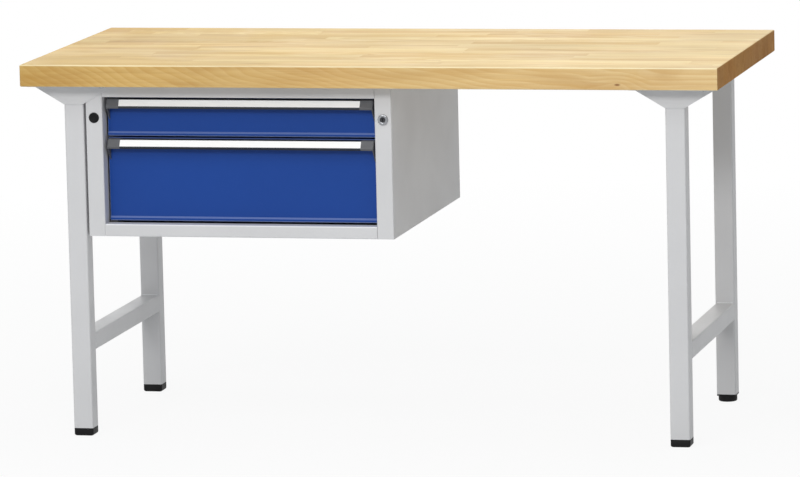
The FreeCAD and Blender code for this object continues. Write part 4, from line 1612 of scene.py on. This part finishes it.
@dataclass
class FootCaps:
    """The moulded feet in the leg ends: three square caps and a round levelling glide, on ribbed stems.

    A foot is a stack of rings. A ring has its reach from the foot's middle, its height and the radius
    of its corners.

    Attributes:
        finishes: The bench's finishes.
        corner: Radius of a cap's upright corners.
        sole: Radius of the rounding round a cap's sole.
        sole_steps: Rings that make a sole's rounding.
        corner_steps: Sides that make an upright corner, or a quarter of the glide.
        arris: Width of the bevel where a foot meets its leg.
        stem_inset: How far the stem lies inside the ribs.
        fit: How far the ribs lie inside the cap's faces.
        rib: Thickness of a rib.
        ribs: How many ribs the stem has.
        levelled: The foot that is a glide.
        glide: Radius of the glide.
        glide_round: Radius of the rounding round its sole.
        rim: Height of the square rim between glide and leg.
    """

    finishes: Finishes
    corner: float = 4.0 * MILLIMETRE
    sole: float = 5.0 * MILLIMETRE
    sole_steps: int = 6
    corner_steps: int = 10
    arris: float = 0.8 * MILLIMETRE
    stem_inset: float = 4.0 * MILLIMETRE
    fit: float = 2.3 * MILLIMETRE
    rib: float = 2.5 * MILLIMETRE
    ribs: int = 3
    levelled: str = "rear_right_foot"
    glide: float = 21.75 * MILLIMETRE
    glide_round: float = 3.5 * MILLIMETRE
    rim: float = 3.5 * MILLIMETRE

    def sole_rings(self, half: float, rounding: float, bend: float) -> list[Triple]:
        """Rings of a rounded sole, from the floor up.

        Args:
            half: Half the foot's width above the rounding.
            rounding: Radius of the rounding.
            bend: Radius of the upright corners above the rounding.

        Returns:
            The rings in order.
        """
        rings = []
        for step in range(self.sole_steps + 1):
            angle = math.pi / 2 * step / self.sole_steps
            reach = half - rounding * (1 - math.sin(angle))
            rings.append((reach, rounding * (1 - math.cos(angle)), bend * reach / half))
        return rings

    def stem_rings(self, half: float, cap: float, height: float) -> list[Triple]:
        """Rings of the ribbed stem inside the leg, from the leg's end up.

        Args:
            half: Half the foot's width.
            cap: Height of the leg's end above the floor.
            height: Height of foot and stem together.

        Returns:
            The rings in order.
        """
        wide = half - self.fit
        narrow = wide - self.stem_inset
        pitch = (height - cap) / self.ribs
        outline = []
        for index in range(self.ribs):
            foot = cap + pitch * (index + 0.5)
            top = foot + self.rib
            outline += [(narrow, foot - pitch / 2), (narrow, foot), (wide, foot), (wide, top), (narrow, top)]
        outline.append((narrow, height))
        return [(reach, level, self.corner * reach / half) for reach, level in outline]

    def rings(self, node: str, half: float, cap: float) -> list[Triple]:
        """Rings of a foot below its leg, from the floor up.

        Args:
            node: The foot's CAD node.
            half: Half the foot's width.
            cap: Height of the leg's end above the floor.

        Returns:
            The rings in order.
        """
        if node == self.levelled:
            rings = self.sole_rings(self.glide, self.glide_round, self.glide)
            rings += [(self.glide, cap - self.rim, self.glide), (half, cap - self.rim, self.corner)]
        else:
            rings = self.sole_rings(half, self.sole, self.corner)
        return rings + [(half, cap - self.arris, self.corner), (half - self.arris / 2, cap, self.corner)]

    def outline(self, reach: float, bend: float) -> list[Vector]:
        """Points of a square with rounded corners.

        Args:
            reach: From the middle to a side.
            bend: Radius of the corners.

        Returns:
            The points, all the way round.
        """
        points = []
        for quarter in range(4):
            heart = Vector((reach - bend, reach - bend))
            heart.rotate(Matrix.Rotation(quarter * math.pi / 2, 2))
            for step in range(self.corner_steps + 1):
                angle = (quarter + step / self.corner_steps) * math.pi / 2
                points.append(heart + bend * Vector((math.cos(angle), math.sin(angle))))
        return points

    def foot(self, node: str, leg: str) -> Piece:
        """One foot in place of its CAD node.

        Args:
            node: The foot's CAD node.
            leg: The CAD node of the leg that it closes.

        Returns:
            The foot.
        """
        low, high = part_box(node)
        centre = (low + high) / 2
        half = (high.x - low.x) / 2
        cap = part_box(leg)[0].z - low.z
        bm = bmesh.new()
        loops = []
        for reach, height, bend in self.rings(node, half, cap) + self.stem_rings(half, cap, high.z - low.z):
            loops.append([
                bm.verts.new((centre.x + place.x, centre.y + place.y, low.z + height))
                for place in self.outline(reach, bend)
            ])
        skin(bm, loops)
        bm.faces.new(loops[0])
        bm.faces.new(loops[-1])
        piece = mesh_object(node + ("_glide" if node == self.levelled else "_cap"), bm)
        return self.finishes.fix(piece, BENCH, Slot.BLACK_PLASTIC, node)

    def build(self) -> list[Piece]:
        """Make all four feet.

        Returns:
            The feet.
        """
        corners = [f"{end}_{side}" for end in ("front", "rear") for side in SIDES]
        return [self.foot(corner + "_foot", corner + "_leg") for corner in corners]


@dataclass(frozen=True)
class Softbox:
    """A soft rectangular light.

    Attributes:
        name: The light's name.
        place: Where it hangs.
        size: Its width and height.
        power: Its power in watts.
    """

    name: str
    place: Triple
    size: Span
    power: float

    def hang(self, aim: Vector) -> None:
        """Put the light in the scene.

        Args:
            aim: What it faces.
        """
        light = bpy.data.lights.new(self.name, "AREA")
        light.shape = "RECTANGLE"
        light.size, light.size_y = self.size
        light.energy = self.power
        holder = scene_object(self.name, light)
        holder.location = self.place
        holder.rotation_mode = "QUATERNION"
        holder.rotation_quaternion = (aim - Vector(self.place)).to_track_quat("-Z", "Y")
        holder.visible_camera = False


@dataclass
class Studio:
    """A plain pale floor, a white surround and soft lights.

    Attributes:
        floor_size: Width of the floor.
        floor_cells: Cells along one side of its mesh.
        floor_drop: How far the floor lies under the feet.
        floor_white: How white the floor is to light.
        shadow_share: Share of the object's shadow that the floor shows close to it.
        shadow_reach: Distances from the middle where that share starts and ends its fall to none.
        ambient: Strength of the surround's light.
        ambient_tint: Colour of that light, a little cool.
        aim: What the lights face.
        softboxes: The lights.
    """

    floor_size: float = 120.0
    floor_cells: int = 8
    floor_drop: float = 0.3 * MILLIMETRE
    floor_white: float = 0.73
    shadow_share: float = 0.09
    shadow_reach: Span = (0.9, 4.0)
    ambient: float = 0.4
    ambient_tint: Colour = (0.96, 0.99, 1.015, 1.0)
    aim: Triple = (0.0, 0.0, 0.5)
    softboxes: tuple[Softbox, ...] = (
        Softbox("high_softbox", (-0.6, -3.6, 4.3), (3.6, 2.4), 61.0),
        Softbox("overhead_softbox", (0.0, 0.2, 4.6), (3.4, 2.4), 40.0),
        Softbox("front_softbox", (0.0, -5.0, 2.85), (3.6, 1.0), 95.0),
        Softbox("rear_softbox", (-1.8, 5.0, 2.4), (3.6, 1.6), 30.0),
    )

    def seen_white(self, sheet: NodeSheet, end: str, lit: Node, white: Node, share: object) -> None:
        """Show white to camera, glossy and transmitted rays, and light the object by another shader.

        Args:
            sheet: The nodes.
            end: Name of their output node.
            lit: The shader that lights.
            white: The shader that is seen.
            share: Share of white that is seen.
        """
        rays = sheet.add("ShaderNodeLightPath").outputs
        mirrored = sheet.larger(rays["Is Glossy Ray"], rays["Is Transmission Ray"])
        seen = sheet.larger(rays["Is Camera Ray"], mirrored)
        feeds = {"Fac": sheet.times(seen, share), 1: lit.outputs[0], 2: white.outputs[0]}
        both = sheet.add("ShaderNodeMixShader", feeds)
        sheet.feed(sheet.tree.nodes[end].inputs["Surface"], both.outputs[0])

    def surround(self) -> None:
        """A white world that lights at the ambient level."""
        world = bpy.data.worlds.new("White surround")
        world.use_nodes = True
        bpy.context.scene.world = world
        sheet = NodeSheet(world.node_tree)
        glow = world.node_tree.nodes["Background"]
        glow.inputs["Color"].default_value = self.ambient_tint
        glow.inputs["Strength"].default_value = self.ambient
        white = sheet.add("ShaderNodeBackground", {"Color": (1.0, 1.0, 1.0, 1.0)})
        self.seen_white(sheet, "World Output", glow, white, 1.0)

    def floor(self) -> None:
        """A pale floor that keeps a soft share of the object's shadow."""
        bm = bmesh.new()
        cells = self.floor_cells
        bmesh.ops.create_grid(bm, x_segments=cells, y_segments=cells, size=self.floor_size / 2)
        bm.transform(Matrix.Translation((0, 0, -self.floor_drop)))
        floor = mesh_object("floor", bm)
        material = bpy.data.materials.new("Pale floor")
        material.use_nodes = True
        material.node_tree.nodes.remove(material.node_tree.nodes["Principled BSDF"])
        sheet = NodeSheet(material.node_tree)
        matt = sheet.add("ShaderNodeBsdfDiffuse", {"Color": (*[self.floor_white] * 3, 1.0)})
        away = sheet.vector("LENGTH", object_place(sheet))
        shown = sheet.span(away, *self.shadow_reach, 1.0 - self.shadow_share, 1.0)
        self.seen_white(sheet, "Material Output", matt, sheet.add("ShaderNodeEmission"), shown)
        floor.data.materials.append(material)

    def build(self) -> None:
        """Set the floor, the surround and the lights."""
        self.surround()
        self.floor()
        for softbox in self.softboxes:
            softbox.hang(Vector(self.aim))


@dataclass
class PhotoCamera:
    """A long lens at the photograph's viewing angle.

    Attributes:
        turn: Angle to the user's right, in degrees.
        rise: Angle above the floor, in degrees.
        roll: Turn about the line of sight, in degrees.
        aim: Point in the middle of the picture.
        distance: From the aim to the camera.
        lens: Focal length in millimetres.
        sensor: Width of the sensor in millimetres.
        sight: How far the camera sees.
    """

    turn: float = 13.41
    rise: float = 8.39
    roll: float = -1.32
    aim: Triple = (-0.0145, 0.0, 0.4169)
    distance: float = 13.5687
    lens: float = 265.5
    sensor: float = 36.0
    sight: float = 200.0

    def build(self) -> None:
        """Place the camera and make it the scene's own."""
        turn, rise, roll = (math.radians(angle) for angle in (self.turn, self.rise, self.roll))
        right = Vector((math.cos(turn), math.sin(turn), 0.0))
        ahead = Vector((-math.sin(turn) * math.cos(rise), math.cos(turn) * math.cos(rise), -math.sin(rise)))
        up = right.cross(ahead)
        across = right * math.cos(roll) + up * math.sin(roll)
        upright = up * math.cos(roll) - right * math.sin(roll)
        data = bpy.data.cameras.new("photo_camera")
        data.sensor_width = self.sensor
        data.lens = self.lens
        data.clip_end = self.sight
        camera = scene_object("photo_camera", data)
        stand = Matrix.Translation(Vector(self.aim) - ahead * self.distance)
        camera.matrix_world = stand @ Matrix((across, upright, -ahead)).transposed().to_4x4()
        bpy.context.scene.camera = camera


def main() -> None:
    """Dress the frame, add the fine pieces, and set the studio and the camera."""
    logging.basicConfig(level=logging.INFO, format="%(name)s: %(message)s")
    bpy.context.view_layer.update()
    bpy.context.scene.view_settings.view_transform = "Standard"
    finishes = Finishes()
    finishes.dress_nodes()
    for maker in (WeldSeams, Fasteners, StileFittings, FootCaps):
        for piece in maker(finishes).build():
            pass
    Studio().build()
    PhotoCamera().build()


if __name__ == "__main__":
    main()
